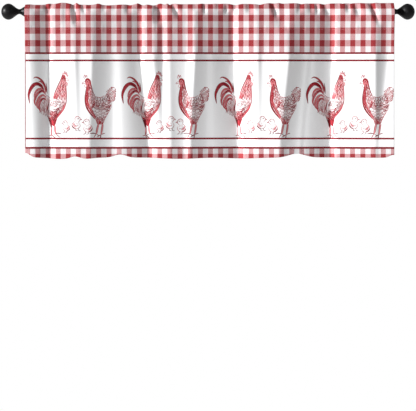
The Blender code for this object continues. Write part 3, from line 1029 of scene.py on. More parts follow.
    def row_run(self) -> Run:
        """Run the rows from the turned hem up over the rod to the turned end at the seam.

        Returns:
            How they run.
        """
        steps, total = self.fold_angles(), len(self.base)
        levels = self.base[:, self.columns // 2, 2]
        reach = levels[0] + self.hem_turn + self.slack
        turned = [row for row in range(1, len(self.near_hem)) if levels[row] <= reach]
        base = turned[::-1] + [0] * (1 + len(steps))
        angle = [math.pi] * (len(turned) + 1) + steps + [0.0] * total
        bulge = [-1.0] * len(base) + [0.0] * total
        base += [*range(total)] + [total - 1] * (len(steps) + 1) + [total - 2, total - 3]
        angle += steps[::-1] + [math.pi] * 3
        bulge += [1.0] * (len(steps) + 3)
        return Run(np.array(base), np.array(angle), np.array(bulge))

    def column_run(self) -> Run:
        """Run the columns from one turned side hem to the other.

        Returns:
            How they run.
        """
        steps, total = self.fold_angles(), self.columns
        turned = int(round(self.side_turn * (total - 1) / self.flat_width))
        left = [*range(turned, 0, -1)] + [0] * (1 + len(steps))
        angle = [math.pi] * (turned + 1) + steps
        base = left + [*range(total)] + [total - 1 - item for item in left[::-1]]
        angle = angle + [0.0] * total + angle[::-1]
        bulge = [-1.0] * len(left) + [0.0] * total + [1.0] * len(left)
        return Run(np.array(base), np.array(angle), np.array(bulge))

    def turned(self) -> tuple[Array, Array]:
        """The printed face with its hems turned.

        Returns:
            The points, and their places in the print (flat place across, height).
        """
        rows, columns = self.row_run(), self.column_run()
        over = ((1.0 - np.cos(rows.angle)) / 2.0)[:, None]
        aside = ((1.0 - np.cos(columns.angle)) / 2.0)[None, :]
        near_edge = self.edge_share(self.shares)[columns.base][None, :]
        fold = self.layer + self.thickness
        row_depth = fold + 2.0 * self.layer * near_edge
        both = 2.0 * self.layer
        depth = (1.0 - over) * aside * fold + over * (1.0 - aside) * row_depth + over * aside * both
        row_swell = np.sin(rows.angle)[:, None] / 2.0
        row_swell = row_swell * ((1.0 - aside) * row_depth + aside * abs(both - fold))
        column_swell = np.sin(columns.angle)[None, :] / 2.0
        column_swell = column_swell * ((1.0 - over) * fold + over * (row_depth - both))
        pick = np.ix_(rows.base, columns.base)
        points = self.base[pick] - self.normal[pick] * depth[:, :, None]
        points = points + self.up[pick] * (row_swell * rows.bulge[:, None])[:, :, None]
        points = points + self.along[pick] * (column_swell * columns.bulge[None, :])[:, :, None]
        return points, self.print_places(rows, columns)

    def print_places(self, rows: Run, columns: Run) -> Array:
        """Place in the print of each point of the finished sheet.

        Args:
            rows: how its rows run.
            columns: how its columns run.

        Returns:
            The flat place across and the height on the face, for each row and column.
        """
        height = self.base[:, :, 2].copy()
        crease = height[self.front_rows - 1]
        height[self.front_rows :] = 2.0 * crease - height[self.front_rows :]
        v = height[np.ix_(rows.base, columns.base)]
        hem, end = height[0, columns.base], height[-1, columns.base]
        v = np.where((rows.bulge < 0.0)[:, None], 2.0 * hem - v, v)
        v = np.where((rows.bulge > 0.0)[:, None], 2.0 * end - v, v)
        u = self.shares[columns.base] * self.flat_width
        u = np.where(columns.bulge < 0.0, -u, u)
        u = np.where(columns.bulge > 0.0, 2.0 * self.flat_width - u, u)
        return np.stack((np.broadcast_to(u, v.shape), v), axis=-1)

    def build(self, finish: ClothFinish) -> bpy.types.Object:
        """Make the sheet's mesh.

        Args:
            finish: the finish of its face and its reverse.

        Returns:
            The piece, with its two maps.
        """
        face, places = self.turned()
        outward = unit(np.cross(np.gradient(face, axis=1), np.gradient(face, axis=0)))
        reverse = face - outward * self.thickness
        rows, columns = face.shape[:2]
        count = rows * columns
        points = np.concatenate((face.reshape(-1, 3), reverse.reshape(-1, 3)))
        grid = np.arange(count).reshape(rows, columns)
        corner = [grid[:-1, :-1], grid[:-1, 1:], grid[1:, 1:], grid[1:, :-1]]
        front = np.stack(corner, axis=-1).reshape(-1, 4)
        back = front[:, ::-1] + count
        rim = np.concatenate((grid[0, :], grid[1:, -1], grid[-1, -2::-1], grid[-2:0:-1, 0]))
        after = np.roll(rim, -1)
        edge = np.stack((after, rim, rim + count, after + count), axis=-1)
        faces = np.concatenate((front, back, edge))
        name = "valance_printed_cloth"
        mesh = new_mesh(name, points.tolist(), faces.tolist(), finish.printed(), finish.reverse())
        index = np.zeros(len(faces), dtype=np.int32)
        index[len(front) :] = 1
        mesh.polygons.foreach_set("material_index", index)
        self.map_print(mesh, faces, places.reshape(-1, 2), count)
        self.map_bake(mesh, faces, (rows, columns), len(edge))
        mesh.shade_smooth()
        mesh.update()
        return add_object(name, mesh)

    def map_print(self, mesh: bpy.types.Mesh, faces: Array, places: Array, count: int) -> None:
        """Write the map that the print and the weave read, in metres."""
        layer = mesh.uv_layers.new(name=self.PRINT_MAP)
        layer.data.foreach_set("uv", places[faces.ravel() % count].ravel())

    def map_bake(self, mesh: bpy.types.Mesh, faces: Array, shape: tuple[int, int], rim: int) -> None:
        """Write a map on which face, reverse and rim lie apart.

        Args:
            mesh: the sheet's mesh.
            faces: its faces, with those of the rim last.
            shape: its rows and columns.
            rim: how many faces the rim has.
        """
        rows, columns = shape
        count = rows * columns
        corner = faces.ravel()
        on_reverse = corner >= count
        row, column = np.divmod(corner % count, columns)
        place = np.stack((column / (columns - 1.0), row / (rows - 1.0)), axis=-1)
        place[:, 0] = self.bake_margin + self.bake_wide * place[:, 0]
        lift = np.where(on_reverse, 0.0, self.bake_face)
        place[:, 1] = self.bake_margin + self.bake_half * place[:, 1] + lift
        start = len(corner) - 4 * rim
        run = np.repeat(np.arange(rim), 4)
        step = np.tile((1, 0, 0, 1), rim)
        place[start:, 0] = self.bake_margin + self.bake_wide * (run + step) / rim
        place[start:, 1] = np.where(on_reverse[start:], *self.bake_rim)
        layer = mesh.uv_layers.new(name=self.BAKE_MAP)
        layer.data.foreach_set("uv", place.ravel())

    def on_face(self, u: Array, z: Array, lift: Array | float) -> Array:
        """Points on the room side of the sheet.

        Args:
            u: flat places across the cloth.
            z: heights.
            lift: how far in front of the face the points lie.

        Returns:
            The points, in the order given.
        """
        levels = self.base[: self.front_rows - self.crown_skip, self.columns // 2, 2]
        row = np.interp(z, levels, np.arange(len(levels)))
        column = np.clip(u / self.flat_width, 0.0, 1.0) * (self.columns - 1)
        low, near = np.floor(row).astype(int), np.floor(column).astype(int)
        low, near = np.minimum(low, len(levels) - 2), np.minimum(near, self.columns - 2)
        t, s = (row - low)[:, None], (column - near)[:, None]

        def blend(values: Array) -> Array:
            """The values between the four corners round each place."""
            ends = [values[row, near] * (1.0 - s) + values[row, near + 1] * s for row in (low, low + 1)]
            return ends[0] * (1.0 - t) + ends[1] * t

        return blend(self.base) + unit(blend(self.normal)) * np.reshape(lift, (-1, 1))

    def over_rod(self, u: float) -> tuple[Array, Array]:
        """The upright line from the seam up over the rod and down behind.

        Args:
            u: its flat place across the cloth.

        Returns:
            Points on the printed face, and the directions it faces there.
        """
        column = u / self.flat_width * (self.columns - 1)
        near = min(int(column), self.columns - 2)
        share = column - near
        levels = self.base[: self.front_rows, near, 2]
        first = int(np.searchsorted(levels, self.form.seam_top))
        line, out = (
            part[first:, near] * (1.0 - share) + part[first:, near + 1] * share
            for part in (self.base, self.normal)
        )
        return line, unit(out)


# ---- the printed birds


class Mark(Enum):
    """The marks that fill a tract of feathers."""

    BRUSH = "broad strokes side by side, under the pen's"
    BARB = "long strokes along the feathers"
    SCALE = "rounded feather tips"
    DASH = "short broken strokes"


BRUSH, BARB, SCALE, DASH = Mark


class Tract(NamedTuple):
    """A patch of feathers between two lines that both run the way the feathers grow, in mm.

    lanes is how many rows of marks lie side by side and marks how many follow one another.
    first and last are the stroke's width at the first and at the last lane; for a brush they are
    shares of a lane's own width. tone runs from 0, the palest ink, to 1, the deepest.
    """

    near: tuple
    far: tuple
    mark: Mark
    lanes: int
    marks: int
    first: float
    last: float
    tone: float = 1.0


class Plume(NamedTuple):
    """One long feather in mm: its quill, half its width, its barbs, its stroke and two tones.

    fill is the tone of the broad strokes inside it, if it has any, and tone that of its lines.
    """

    quill: tuple
    half: float
    barbs: int
    weight: float
    fill: float | None
    tone: float


class Line(NamedTuple):
    """One drawn line in mm, thin at its two ends."""

    path: tuple
    weight: float
    tone: float = 1.0


ROOSTER_BELLY = (
    ((-12, 76), (-9, 66), (-5, 58), (-2, 50)),
    ((20, 74), (17, 64), (13, 56), (9, 48)),
)

ROOSTER = (
    # broad strokes: face, neck, breast, wing, thighs, saddle and rump
    Tract(((29, 187), (26, 177), (24, 168)), ((35, 187), (39, 177), (39, 166)),
          BRUSH, 4, 1, 1.1, 1.1, 0.35),
    Tract(((25, 172), (17, 156), (8, 138), (-1, 119)), ((38, 168), (40, 150), (41, 132), (40, 113)),
          BRUSH, 9, 3, 0.9, 0.7, 0.02),
    Tract(((8, 130), (3, 122), (0, 115)), ((18, 128), (15, 120), (12, 114)), BRUSH, 4, 1, 0.9, 0.7, 0.3),
    Tract(((26, 114), (22, 98), (13, 80), (0, 62)), ((40, 114), (38, 96), (28, 80), (9, 56)),
          BRUSH, 6, 3, 0.15, 0.55, 0.0),
    Tract(((24, 110), (8, 110), (-6, 106), (-13, 98)), ((14, 72), (6, 66), (-4, 64), (-14, 66)),
          BRUSH, 8, 3, 0.18, 0.2, 0.0),
    Line(((38, 99), (32, 85), (21, 70), (8, 53)), 5.6, 0.4),
    Tract(((-9, 61), (-5, 47), (-1, 34)), ((15, 62), (11, 47), (5, 31)), BRUSH, 8, 1, 1.05, 1.05, 0.6),
    Tract(((-17, 58), (-12, 43), (-8, 29)), ((-2, 58), (-2, 43), (-4, 28)),
          BRUSH, 6, 1, 1.05, 1.05, 0.8),
    Tract(((-7, 114), (-13, 102), (-16, 86), (-15, 66)), ((-25, 128), (-33, 110), (-40, 94), (-44, 82)),
          BRUSH, 8, 2, 0.35, 0.3, 0.04),
    # comb, beak, eye and wattle
    Line(((30, 188), (35, 191), (40, 188), (43, 182)), 3.2, 0.02),
    Line(
        ((29, 186), (30, 194), (34, 190), (36, 198), (39, 191), (42, 194), (43, 186), (46, 186), (43, 179)),
        1.5, 0.7,
    ),
    Line(((38, 177), (44, 175), (47, 170), (43, 170), (38, 170)), 1.3, 0.6),
    Line(((40, 166), (42, 160), (41, 156)), 2.8, 0.02),
    Line(((39, 168), (44, 161), (42, 153), (39, 158)), 1.2, 0.6),
    Line(((33, 179), (36, 178), (36, 175), (33, 175), (33, 179)), 1.2),
    Tract(((29, 188), (27, 178), (26, 168)), ((35, 186), (38, 176), (38, 165)),
          DASH, 4, 4, 1.7, 1.5, 0.95),
    # neck
    Line(((28, 186), (24, 173), (17, 158), (9, 140), (0, 119)), 2.0, 0.95),
    Line(((39, 166), (40, 150), (41, 132), (41, 114), (40, 104), (36, 92), (28, 79), (17, 66), (8, 53)),
         1.8, 0.8),
    Tract(((26, 168), (18, 151), (9, 132), (2, 116)), ((38, 164), (38, 146), (38, 130), (37, 112)),
          DASH, 5, 6, 2.2, 1.9, 0.8),
    Tract(((28, 170), (20, 154), (11, 136), (2, 116)), ((38, 158), (39, 142), (40, 126), (39, 110)),
          BARB, 6, 5, 0.9, 0.9, 0.75),
    Line(((0, 119), (3, 113), (9, 116), (14, 112), (21, 115), (28, 111), (35, 113)), 1.6, 0.7),
    # breast and belly
    Tract(((20, 108), (17, 94), (9, 79), (2, 66)), ((39, 110), (37, 95), (29, 80), (16, 66)),
          SCALE, 4, 5, 0.95, 1.1, 0.85),
    Tract(*ROOSTER_BELLY, BRUSH, 6, 2, 0.5, 0.7, 0.15),
    Tract(*ROOSTER_BELLY, SCALE, 6, 4, 1.5, 1.6, 0.95),
    Tract(((22, 82), (14, 71), (7, 61), (3, 50)), ((32, 84), (24, 72), (15, 61), (8, 50)),
          DASH, 5, 5, 1.4, 2.2, 0.9),
    # thighs
    Tract(((-14, 56), (-10, 43), (-7, 30)), ((-5, 56), (-5, 43), (-5, 29)), BARB, 5, 3, 1.8, 1.6, 1.0),
    Tract(((-2, 58), (0, 46), (3, 34)), ((13, 58), (10, 46), (5, 34)), BARB, 5, 3, 1.2, 1.5, 0.8),
    Line(((-22, 70), (-16, 56), (-11, 42), (-7, 28)), 1.9, 0.95),
    # back, saddle and rump
    Line(((0, 116), (-8, 118), (-16, 121), (-23, 128)), 1.4, 0.8),
    Tract(((-6, 112), (-12, 101), (-15, 86), (-14, 66)), ((-25, 128), (-33, 110), (-40, 96), (-44, 84)),
          BARB, 8, 4, 0.95, 0.95, 0.75),
    Tract(((-18, 86), (-21, 74), (-20, 60)), ((-36, 96), (-42, 86), (-46, 74)),
          BARB, 8, 2, 0.9, 0.9, 0.7),
    Line(((-13, 104), (-17, 94), (-18, 84), (-17, 73)), 3.0, 0.85),
    Tract(((-20, 74), (-19, 64), (-15, 54)), ((-6, 74), (-7, 64), (-8, 54)), BARB, 6, 3, 0.9, 0.9, 0.6),
    # wing
    Line(((-6, 96), (4, 92), (12, 95), (17, 103)), 2.0, 0.9),
    Line(((-4, 87), (8, 83), (18, 87), (24, 98)), 2.0, 0.9),
    Line(((-8, 78), (4, 75), (14, 78), (20, 86)), 2.0, 0.9),
    Tract(((22, 110), (8, 110), (-2, 108), (-9, 104)), ((18, 98), (8, 95), (-3, 94), (-11, 92)),
          SCALE, 2, 5, 1.3, 1.3, 0.9),
    Tract(((20, 90), (10, 84), (-1, 82), (-12, 82)), ((18, 80), (8, 74), (-2, 72), (-13, 72)),
          BARB, 4, 3, 1.4, 1.4, 0.9),
    # tail
    Plume(((-22, 136), (-26, 152), (-35, 168), (-46, 177), (-55, 180), (-62, 176)),
          2.2, 6, 1.2, 0.4, 0.8),
    Plume(((-24, 132), (-26, 146), (-30, 158), (-38, 166), (-47, 168)), 2.8, 6, 1.0, 0.2, 0.7),
    Line(((-20, 130), (-21, 146), (-24, 163)), 2.2, 0.95),
    Plume(((-30, 142), (-38, 153), (-50, 160), (-61, 156), (-70, 143), (-75, 125), (-72, 101)),
          4.6, 14, 1.5, 0.55, 0.95),
    Line(((-36, 150), (-44, 157), (-54, 161)), 4.6, 0.95),
    Plume(((-26, 134), (-37, 144), (-48, 143), (-56, 134), (-60, 120)), 3.0, 6, 0.9, 0.1, 0.6),
    Plume(((-24, 127), (-34, 138), (-46, 134), (-54, 122), (-58, 108), (-55, 94)),
          3.6, 8, 1.1, 0.15, 0.75),
    Line(((-30, 137), (-38, 139), (-47, 132)), 3.6, 0.95),
    Plume(((-23, 119), (-33, 126), (-43, 120), (-50, 107), (-51, 94), (-46, 84)),
          3.4, 8, 1.0, 0.05, 0.65),
    Plume(((-23, 110), (-31, 116), (-39, 111), (-44, 99), (-44, 86), (-40, 75)), 3.4, 8, 1.0, 0.1, 0.65),
    Line(((-28, 114), (-34, 115), (-42, 107)), 3.6, 0.9),
    # legs
    Line(((6, 36), (7, 20), (9, 10)), 5.0, 0.0),
    Line(((-5, 32), (-5, 18), (-6, 6)), 5.0, 0.0),
    Line(((4, 34), (5, 20), (8, 10)), 2.2, 0.85),
    Line(((8, 34), (9, 20), (11, 10)), 1.7, 0.75),
    Line(((9, 10), (16, 12), (26, 9)), 2.6, 0.85),
    Line(((9, 10), (15, 5), (21, 0)), 2.2, 0.8),
    Line(((9, 10), (4, 8), (0, 8)), 1.9, 0.8),
    Line(((-6, 30), (-6, 18), (-7, 6)), 2.2, 0.85),
    Line(((-3, 29), (-3, 18), (-4, 6)), 1.7, 0.75),
    Line(((-5, 7), (2, 2), (9, -3)), 2.4, 0.85),
    Line(((-5, 7), (-4, 1), (-3, -5)), 2.2, 0.8),
    Line(((-5, 7), (-11, 4), (-15, 4)), 1.9, 0.8),
)

HEN = (
    # broad strokes: face, front, neck, back, belly, thighs and tail
    Tract(((-41, 173), (-41, 163), (-37, 153)), ((-29, 173), (-26, 163), (-23, 152)),
          BRUSH, 4, 1, 1.0, 1.0, 0.3),
    Tract(((-37, 154), (-40, 136), (-42, 118), (-41, 101), (-36, 84), (-26, 69), (-13, 55)),
          ((-31, 154), (-32, 136), (-32, 120), (-31, 106), (-27, 92), (-19, 77), (-8, 60)),
          BRUSH, 3, 3, 0.9, 0.8, 0.36),
    Tract(((-33, 156), (-34, 138), (-33, 122), (-29, 104), (-23, 84)),
          ((-23, 156), (-19, 142), (-14, 128), (-12, 112), (-12, 92)),
          BRUSH, 5, 3, 0.4, 0.35, 0.0),
    Tract(((-16, 124), (-2, 120), (12, 122), (27, 134)), ((-20, 96), (-6, 86), (12, 84), (34, 94)),
          BRUSH, 9, 2, 0.12, 0.3, 0.04),
    Tract(((-22, 84), (-19, 74), (-14, 64), (-9, 54)), ((30, 86), (24, 72), (19, 61), (14, 50)),
          BRUSH, 10, 2, 0.12, 0.12, 0.0),
    Tract(((-13, 56), (-9, 47), (-6, 38)), ((16, 54), (13, 46), (11, 38)), BRUSH, 7, 1, 0.8, 0.6, 0.4),
    Tract(((18, 128), (27, 139), (38, 150)), ((35, 104), (42, 116), (46, 134)),
          BRUSH, 6, 2, 0.22, 0.22, 0.0),
    # comb, beak, eye and wattle
    Line(((-43, 174), (-45, 180), (-42, 187), (-40, 179), (-37, 186), (-35, 178)), 1.4, 0.6),
    Line(((-42, 167), (-48, 164), (-50, 160), (-45, 161), (-41, 162)), 1.2, 0.5),
    Line(((-41, 159), (-43, 153), (-39, 149), (-37, 155)), 1.1, 0.45),
    Line(((-41, 166), (-38, 173), (-33, 174), (-28, 169), (-25, 158)), 4.8, 0.75),
    Line(((-37, 169), (-34, 168), (-35, 165), (-37, 166)), 1.1),
    Line(((-33, 160), (-31, 153), (-31, 146)), 2.2, 0.9),
    # neck and front
    Line(((-27, 168), (-23, 152), (-19, 136), (-12, 123)), 1.9, 0.85),
    Line(((-37, 152), (-40, 136), (-42, 118), (-41, 101), (-36, 84), (-26, 69), (-12, 53)), 2.1, 0.85),
    Tract(((-36, 154), (-39, 136), (-41, 118), (-40, 100), (-34, 84), (-24, 68)),
          ((-30, 154), (-30, 136), (-29, 120), (-28, 106), (-24, 92), (-16, 76)),
          BARB, 3, 7, 1.5, 1.1, 0.8),
    Tract(((-31, 156), (-32, 140), (-31, 122), (-27, 104), (-21, 84)),
          ((-24, 156), (-20, 142), (-15, 128), (-14, 112), (-14, 94)),
          SCALE, 3, 7, 1.35, 1.3, 0.72),
    Line(((-36, 90), (-28, 74), (-18, 62)), 3.4, 0.75),
    # back and wing
    Line(((-12, 123), (-4, 120), (6, 120), (16, 126)), 1.4, 0.7),
    Tract(((-14, 122), (-1, 118), (12, 120), (26, 131)), ((-18, 100), (-6, 93), (10, 91), (34, 104)),
          SCALE, 3, 6, 1.6, 2.0, 0.88),
    Tract(((-14, 98), (2, 95), (16, 97), (32, 104)), ((-18, 90), (-4, 84), (14, 83), (33, 93)),
          BARB, 3, 4, 1.8, 2.1, 0.85),
    Line(((-20, 94), (-10, 84), (4, 82), (18, 83), (30, 89), (36, 102)), 1.8, 0.8),
    # tail
    Plume(((18, 120), (26, 132), (33, 142), (39, 150)), 3.4, 4, 0.9, None, 0.7),
    Plume(((21, 115), (31, 125), (41, 135), (48, 143)), 3.4, 4, 0.9, None, 0.7),
    Plume(((23, 109), (33, 114), (42, 121), (48, 129)), 3.4, 4, 0.9, None, 0.7),
    Plume(((24, 104), (33, 107), (41, 111), (47, 116)), 3.0, 4, 0.9, None, 0.7),
    Tract(((22, 137), (32, 148), (42, 151), (49, 141), (48, 122), (43, 104)),
          ((19, 134), (30, 144), (40, 147), (45, 138), (44, 122), (40, 106)),
          DASH, 1, 12, 2.4, 2.4, 0.7),
    # rump, belly and thigh
    Tract(((-22, 82), (-18, 72), (-13, 62), (-8, 53)), ((30, 84), (24, 71), (18, 60), (13, 50)),
          SCALE, 5, 4, 1.25, 1.3, 0.82),
    Tract(((24, 92), (22, 84), (20, 76)), ((34, 96), (30, 85), (25, 75)), DASH, 3, 3, 1.8, 2.0, 0.8),
    Tract(((-12, 55), (-9, 47), (-6, 38)), ((15, 54), (13, 46), (10, 39)), BARB, 6, 2, 1.3, 1.1, 0.8),
    Line(((36, 98), (33, 86), (25, 71), (18, 58), (12, 42)), 1.2, 0.5),
    # legs
    Line(((-3, 40), (-6, 24), (-8, 10)), 5.0, 0.0),
    Line(((10, 40), (8, 24), (6, 8)), 5.0, 0.0),
    Line(((-5, 38), (-8, 24), (-10, 10)), 2.2, 0.8),
    Line(((-1, 38), (-4, 24), (-7, 10)), 1.7, 0.7),
    Line(((-9, 10), (-18, 12), (-28, 11)), 2.6, 0.85),
    Line(((-9, 10), (-13, 4), (-16, -1)), 2.2, 0.8),
    Line(((-9, 10), (-3, 6), (2, 4)), 1.9, 0.8),
    Line(((8, 39), (6, 24), (4, 8)), 2.2, 0.8),
    Line(((12, 39), (10, 24), (7, 8)), 1.7, 0.7),
    Line(((5, 8), (-1, 4), (-7, 1)), 2.2, 0.8),
    Line(((5, 8), (4, 1), (3, -5)), 2.2, 0.8),
    Line(((5, 8), (11, 10), (17, 12)), 2.4, 0.8),
)

CHICK = (
    Line(((-5, 24), (-6, 31), (-1, 35), (5, 32), (6, 26), (2, 21)), 1.1, 0.65),
    Line(((-5, 24), (-11, 19), (-13, 12), (-8, 6), (0, 5), (6, 11), (5, 18)), 1.1, 0.65),
    Line(((6, 29), (10, 27), (6, 26)), 1.1, 0.75),
    Line(((1, 30), (3, 29)), 1.9, 0.95),
    Line(((-10, 19), (-8, 12), (-3, 9)), 2.7, 0.05),
    Line(((-9, 17), (-4, 12), (2, 13)), 1.1, 0.75),
    Line(((-13, 14), (-9, 8), (-4, 6)), 1.4, 0.95),
    Line(((-4, 5), (-4, 1), (1, 0)), 1.4, 0.95),
    Line(((2, 6), (3, 1), (8, 0)), 1.4, 0.95),
    Tract(((-6, 23), (-9, 17), (-8, 10)), ((4, 21), (2, 16), (3, 10)), DASH, 3, 3, 0.6, 0.6, 0.5),
    Tract(((-4, 33), (-5, 27)), ((4, 33), (4, 28)), DASH, 3, 2, 0.6, 0.6, 0.5),
)


class ChickPlace(NamedTuple):
    """Where one chick stands, in mm from the rooster's legs: place, size and the way it looks."""

    x: float
    y: float
    size: float
    facing: float


CHICKS = (
    ChickPlace(37.0, 13.0, 1.05, -1.0),
    ChickPlace(73.0, 19.0, 1.25, 1.0),
    ChickPlace(99.0, 9.0, 1.3, -1.0),
)


class Layer(IntEnum):
    """The two layers of ink."""

    BRUSH = 0
    PEN = 1


class Stroke(NamedTuple):
    """One stroke: its points in mm, its width at each, its tone and its layer."""

    line: Array
    width: Array
    tone: float
    layer: Layer


class Patch:
    """The surface of a tract, read by shares of its length and of its width."""

    SAMPLES = 41
    REACH = {BRUSH: 1.12, BARB: 1.5, SCALE: 0.85, DASH: 0.72}

    def __init__(self, tract: Tract) -> None:
        """Round off the tract's two side lines, and find the reach of one mark along it.

        Args:
            tract: the tract.
        """
        self.tract = tract
        self.near, self.far = (curve_through(side, self.SAMPLES) for side in (tract.near, tract.far))
        self.reach = self.REACH[tract.mark] / tract.marks

    def at(self, along: float, across: float) -> Array:
        """Find one place.

        Args:
            along: 0 at the feathers' roots and 1 at their tips, and held at both.
            across: 0 on the near line and 1 on the far one.

        Returns:
            The place in mm.
        """
        place = min(max(along, 0.0), 1.0) * (self.SAMPLES - 1.0)
        index = min(int(place), self.SAMPLES - 2)
        share = place - index
        first = self.near[index] * (1.0 - share) + self.near[index + 1] * share
        second = self.far[index] * (1.0 - share) + self.far[index + 1] * share
        return first * (1.0 - across) + second * across


@dataclass
class Pen:
    """Draws birds as strokes, broad ones under fine ones.

    blunt is how much of a stroke's width is left at its ends, and stray how far a mark's start
    may wander, as a share of its room.
    """

    seed: int
    step: float = 2.4
    bend: float = 0.38
    fewest: int = 4
    rough_points: int = 8
    pressure: tuple = (0.85, 1.15)
    swell: float = 0.6
    blunt: float = 0.35
    tone_spread: float = 0.10
    brush_lead: float = 0.06
    brush_stray: float = 0.06
    brush_knots: tuple = (0.0, 0.35, 0.7, 1.0)
    brush_blunt: float = 0.6
    feather_stray: float = 0.18
    feather_drift: float = 0.35
    barb_blunt: float = 0.25
    scale_half: float = 0.46
    scale_side: float = 0.55
    scale_narrow: float = 0.9
    scale_blunt: float = 0.5
    shaft: tuple = (0.1, 0.7)
    shaft_weight: float = 0.8
    plume_points: int = 25
    plume_skip: int = 4
    plume_shape: tuple = (0.8, 0.7)
    plume_fills: tuple = (-0.55, 0.55)
    plume_blunt: float = 0.3
    plume_root: int = 2
    plume_tip: int = 6
    plume_room: tuple = (0.2, 0.8)
    plume_run: int = 3
    plume_inside: float = 0.95
    plume_middle: float = 0.45
    plume_bow: float = 0.5
    plume_fine: float = 0.62
    plume_faint: float = 0.8

    def __post_init__(self) -> None:
        """Start with clean paper and a steady hand."""
        self.chance = np.random.default_rng(self.seed)
        self.strokes: list[Stroke] = []

    def stroke(
        self, path: object, weight: float, tone: float, blunt: float | None = None,
        layer: Layer = Layer.PEN,
    ) -> None:
        """Draw one stroke, thinner towards its ends.

        Args:
            path: the points that it passes through.
            weight: its width.
            tone: its tone.
            blunt: how much of its width is left at its ends, where that isn't the pen's own.
            layer: its layer.
        """
        blunt = self.blunt if blunt is None else blunt
        rough = curve_through(path, self.rough_points * len(path))
        steps = np.diff(rough, axis=0)
        turning = float(np.abs(np.diff(np.unwrap(np.arctan2(steps[:, 1], steps[:, 0])))).sum())
        by_length = running_length(rough)[-1] / self.step
        count = 1 + max(self.fewest, math.ceil(by_length), math.ceil(turning / self.bend))
        line = curve_through(path, count)
        swell = np.sin(np.linspace(0.0, math.pi, count)) ** self.swell
        press = weight * self.chance.uniform(*self.pressure) * (blunt + (1.0 - blunt) * swell)
        varied = tone + self.chance.uniform(-self.tone_spread, self.tone_spread)
        self.strokes.append(Stroke(line, press, min(max(varied, 0.0), 1.0), layer))

    def tract(self, patch: Patch) -> None:
        """Fill a patch of feathers with marks.

        Args:
            patch: the tract's surface.
        """
        tract = patch.tract
        for lane in range(tract.lanes):
            across = (lane + 0.5) / tract.lanes
            weight = tract.first + (tract.last - tract.first) * across
            for mark in range(tract.marks):
                if tract.mark is BRUSH:
                    self.brush(patch, mark, across, weight)
                else:
                    self.feather(patch, mark + 0.5 * (lane % 2), across, weight)

    def brush(self, patch: Patch, mark: float, across: float, weight: float) -> None:
        """Lay one broad stroke.

        Args:
            patch: the tract's surface.
            mark: the stroke's place in its lane, in marks.
            across: where its lane lies.
            weight: its width as a share of the lane's.
        """
        tract = patch.tract
        stray = self.chance.uniform(-self.brush_stray, self.brush_stray)
        start = (mark - self.brush_lead + stray) / tract.marks
        path = [patch.at(start + patch.reach * share, across) for share in self.brush_knots]
        middle = start + 0.5 * patch.reach
        spread = np.linalg.norm(patch.at(middle, 1.0) - patch.at(middle, 0.0))
        self.stroke(path, weight * spread / tract.lanes, tract.tone, self.brush_blunt, Layer.BRUSH)

    def feather(self, patch: Patch, mark: float, across: float, weight: float) -> None:
        """Draw one feather: a rounded tip with its shaft, or a single barb or dash.

        Args:
            patch: the tract's surface.
            mark: the feather's place in its lane, in marks.
            across: where its lane lies.
            weight: the strokes' width.
        """
        tract, reach = patch.tract, patch.reach
        start = (mark + self.chance.uniform(-self.feather_stray, self.feather_stray)) / tract.marks
        drift = self.chance.uniform(-self.feather_drift, self.feather_drift) / tract.lanes
        tip = start + reach
        if tract.mark is not SCALE:
            middle = patch.at(start + reach / 2.0, across + drift)
            path = [patch.at(start, across), middle, patch.at(tip, across + drift)]
            self.stroke(path, weight, tract.tone, self.barb_blunt)
            return
        half, side = self.scale_half / tract.lanes, start + self.scale_side * reach
        narrow = self.scale_narrow * half
        path = [patch.at(start, across - half), patch.at(side, across - narrow), patch.at(tip, across)]
        path += [patch.at(side, across + narrow), patch.at(start, across + half)]
        self.stroke(path, weight, tract.tone, self.scale_blunt)
        shaft = [patch.at(start + share * reach, across) for share in self.shaft]
        self.stroke(shaft, weight * self.shaft_weight, tract.tone)

    def plume(self, feather: Plume) -> None:
        """Draw a long feather: its fill, its quill, its two edges and its barbs.

        Args:
            feather: the feather.
        """
        skip, last = self.plume_skip, self.plume_points - 1
        quill = curve_through(feather.quill, self.plume_points)
        side = left_of(quill)
        share = np.linspace(0.0, 1.0, self.plume_points)
        lean, fullness = self.plume_shape
        width = feather.half * (np.sin(math.pi * share**lean) ** fullness)[:, None]
        for offset in () if feather.fill is None else self.plume_fills:
            fill = (quill + offset * side * width)[::skip]
            self.stroke(fill, feather.half, feather.fill, self.plume_blunt, Layer.BRUSH)
        self.stroke(quill[::skip], feather.weight, feather.tone)
        room = self.plume_points - self.plume_tip
        for sign in (-1.0, 1.0):
            self.stroke((quill + sign * side * width)[::skip], feather.weight, feather.tone)
            for barb in range(feather.barbs):
                spot = barb + self.chance.uniform(*self.plume_room)
                root = int(self.plume_root + room * spot / feather.barbs)
                tip = min(root + self.plume_run, last)
                outer = quill[tip] + sign * side[tip] * width[tip] * self.plume_inside
                middle = quill[root] * self.plume_middle + outer * (1.0 - self.plume_middle)
                path = [quill[root], middle + sign * side[root] * self.plume_bow, outer]
                weight, tone = feather.weight * self.plume_fine, feather.tone * self.plume_faint
                self.stroke(path, weight, tone, self.plume_blunt)

    def draw(self, drawing: tuple) -> "Pen":
        """Draw a whole bird.

        Args:
            drawing: its tracts, plumes and lines.

        Returns:
            The pen.
        """
        for item in drawing:
            if isinstance(item, Tract):
                self.tract(Patch(item))
            elif isinstance(item, Plume):
                self.plume(item)
            else:
                self.stroke(item.path, item.weight, item.tone)
        return self


class Spot(NamedTuple):
    """Where a drawing's origin lies on the hung cloth, its size, and -1 where it looks the other way."""

    x: float
    z: float
    size: float = 1.0
    facing: float = 1.0


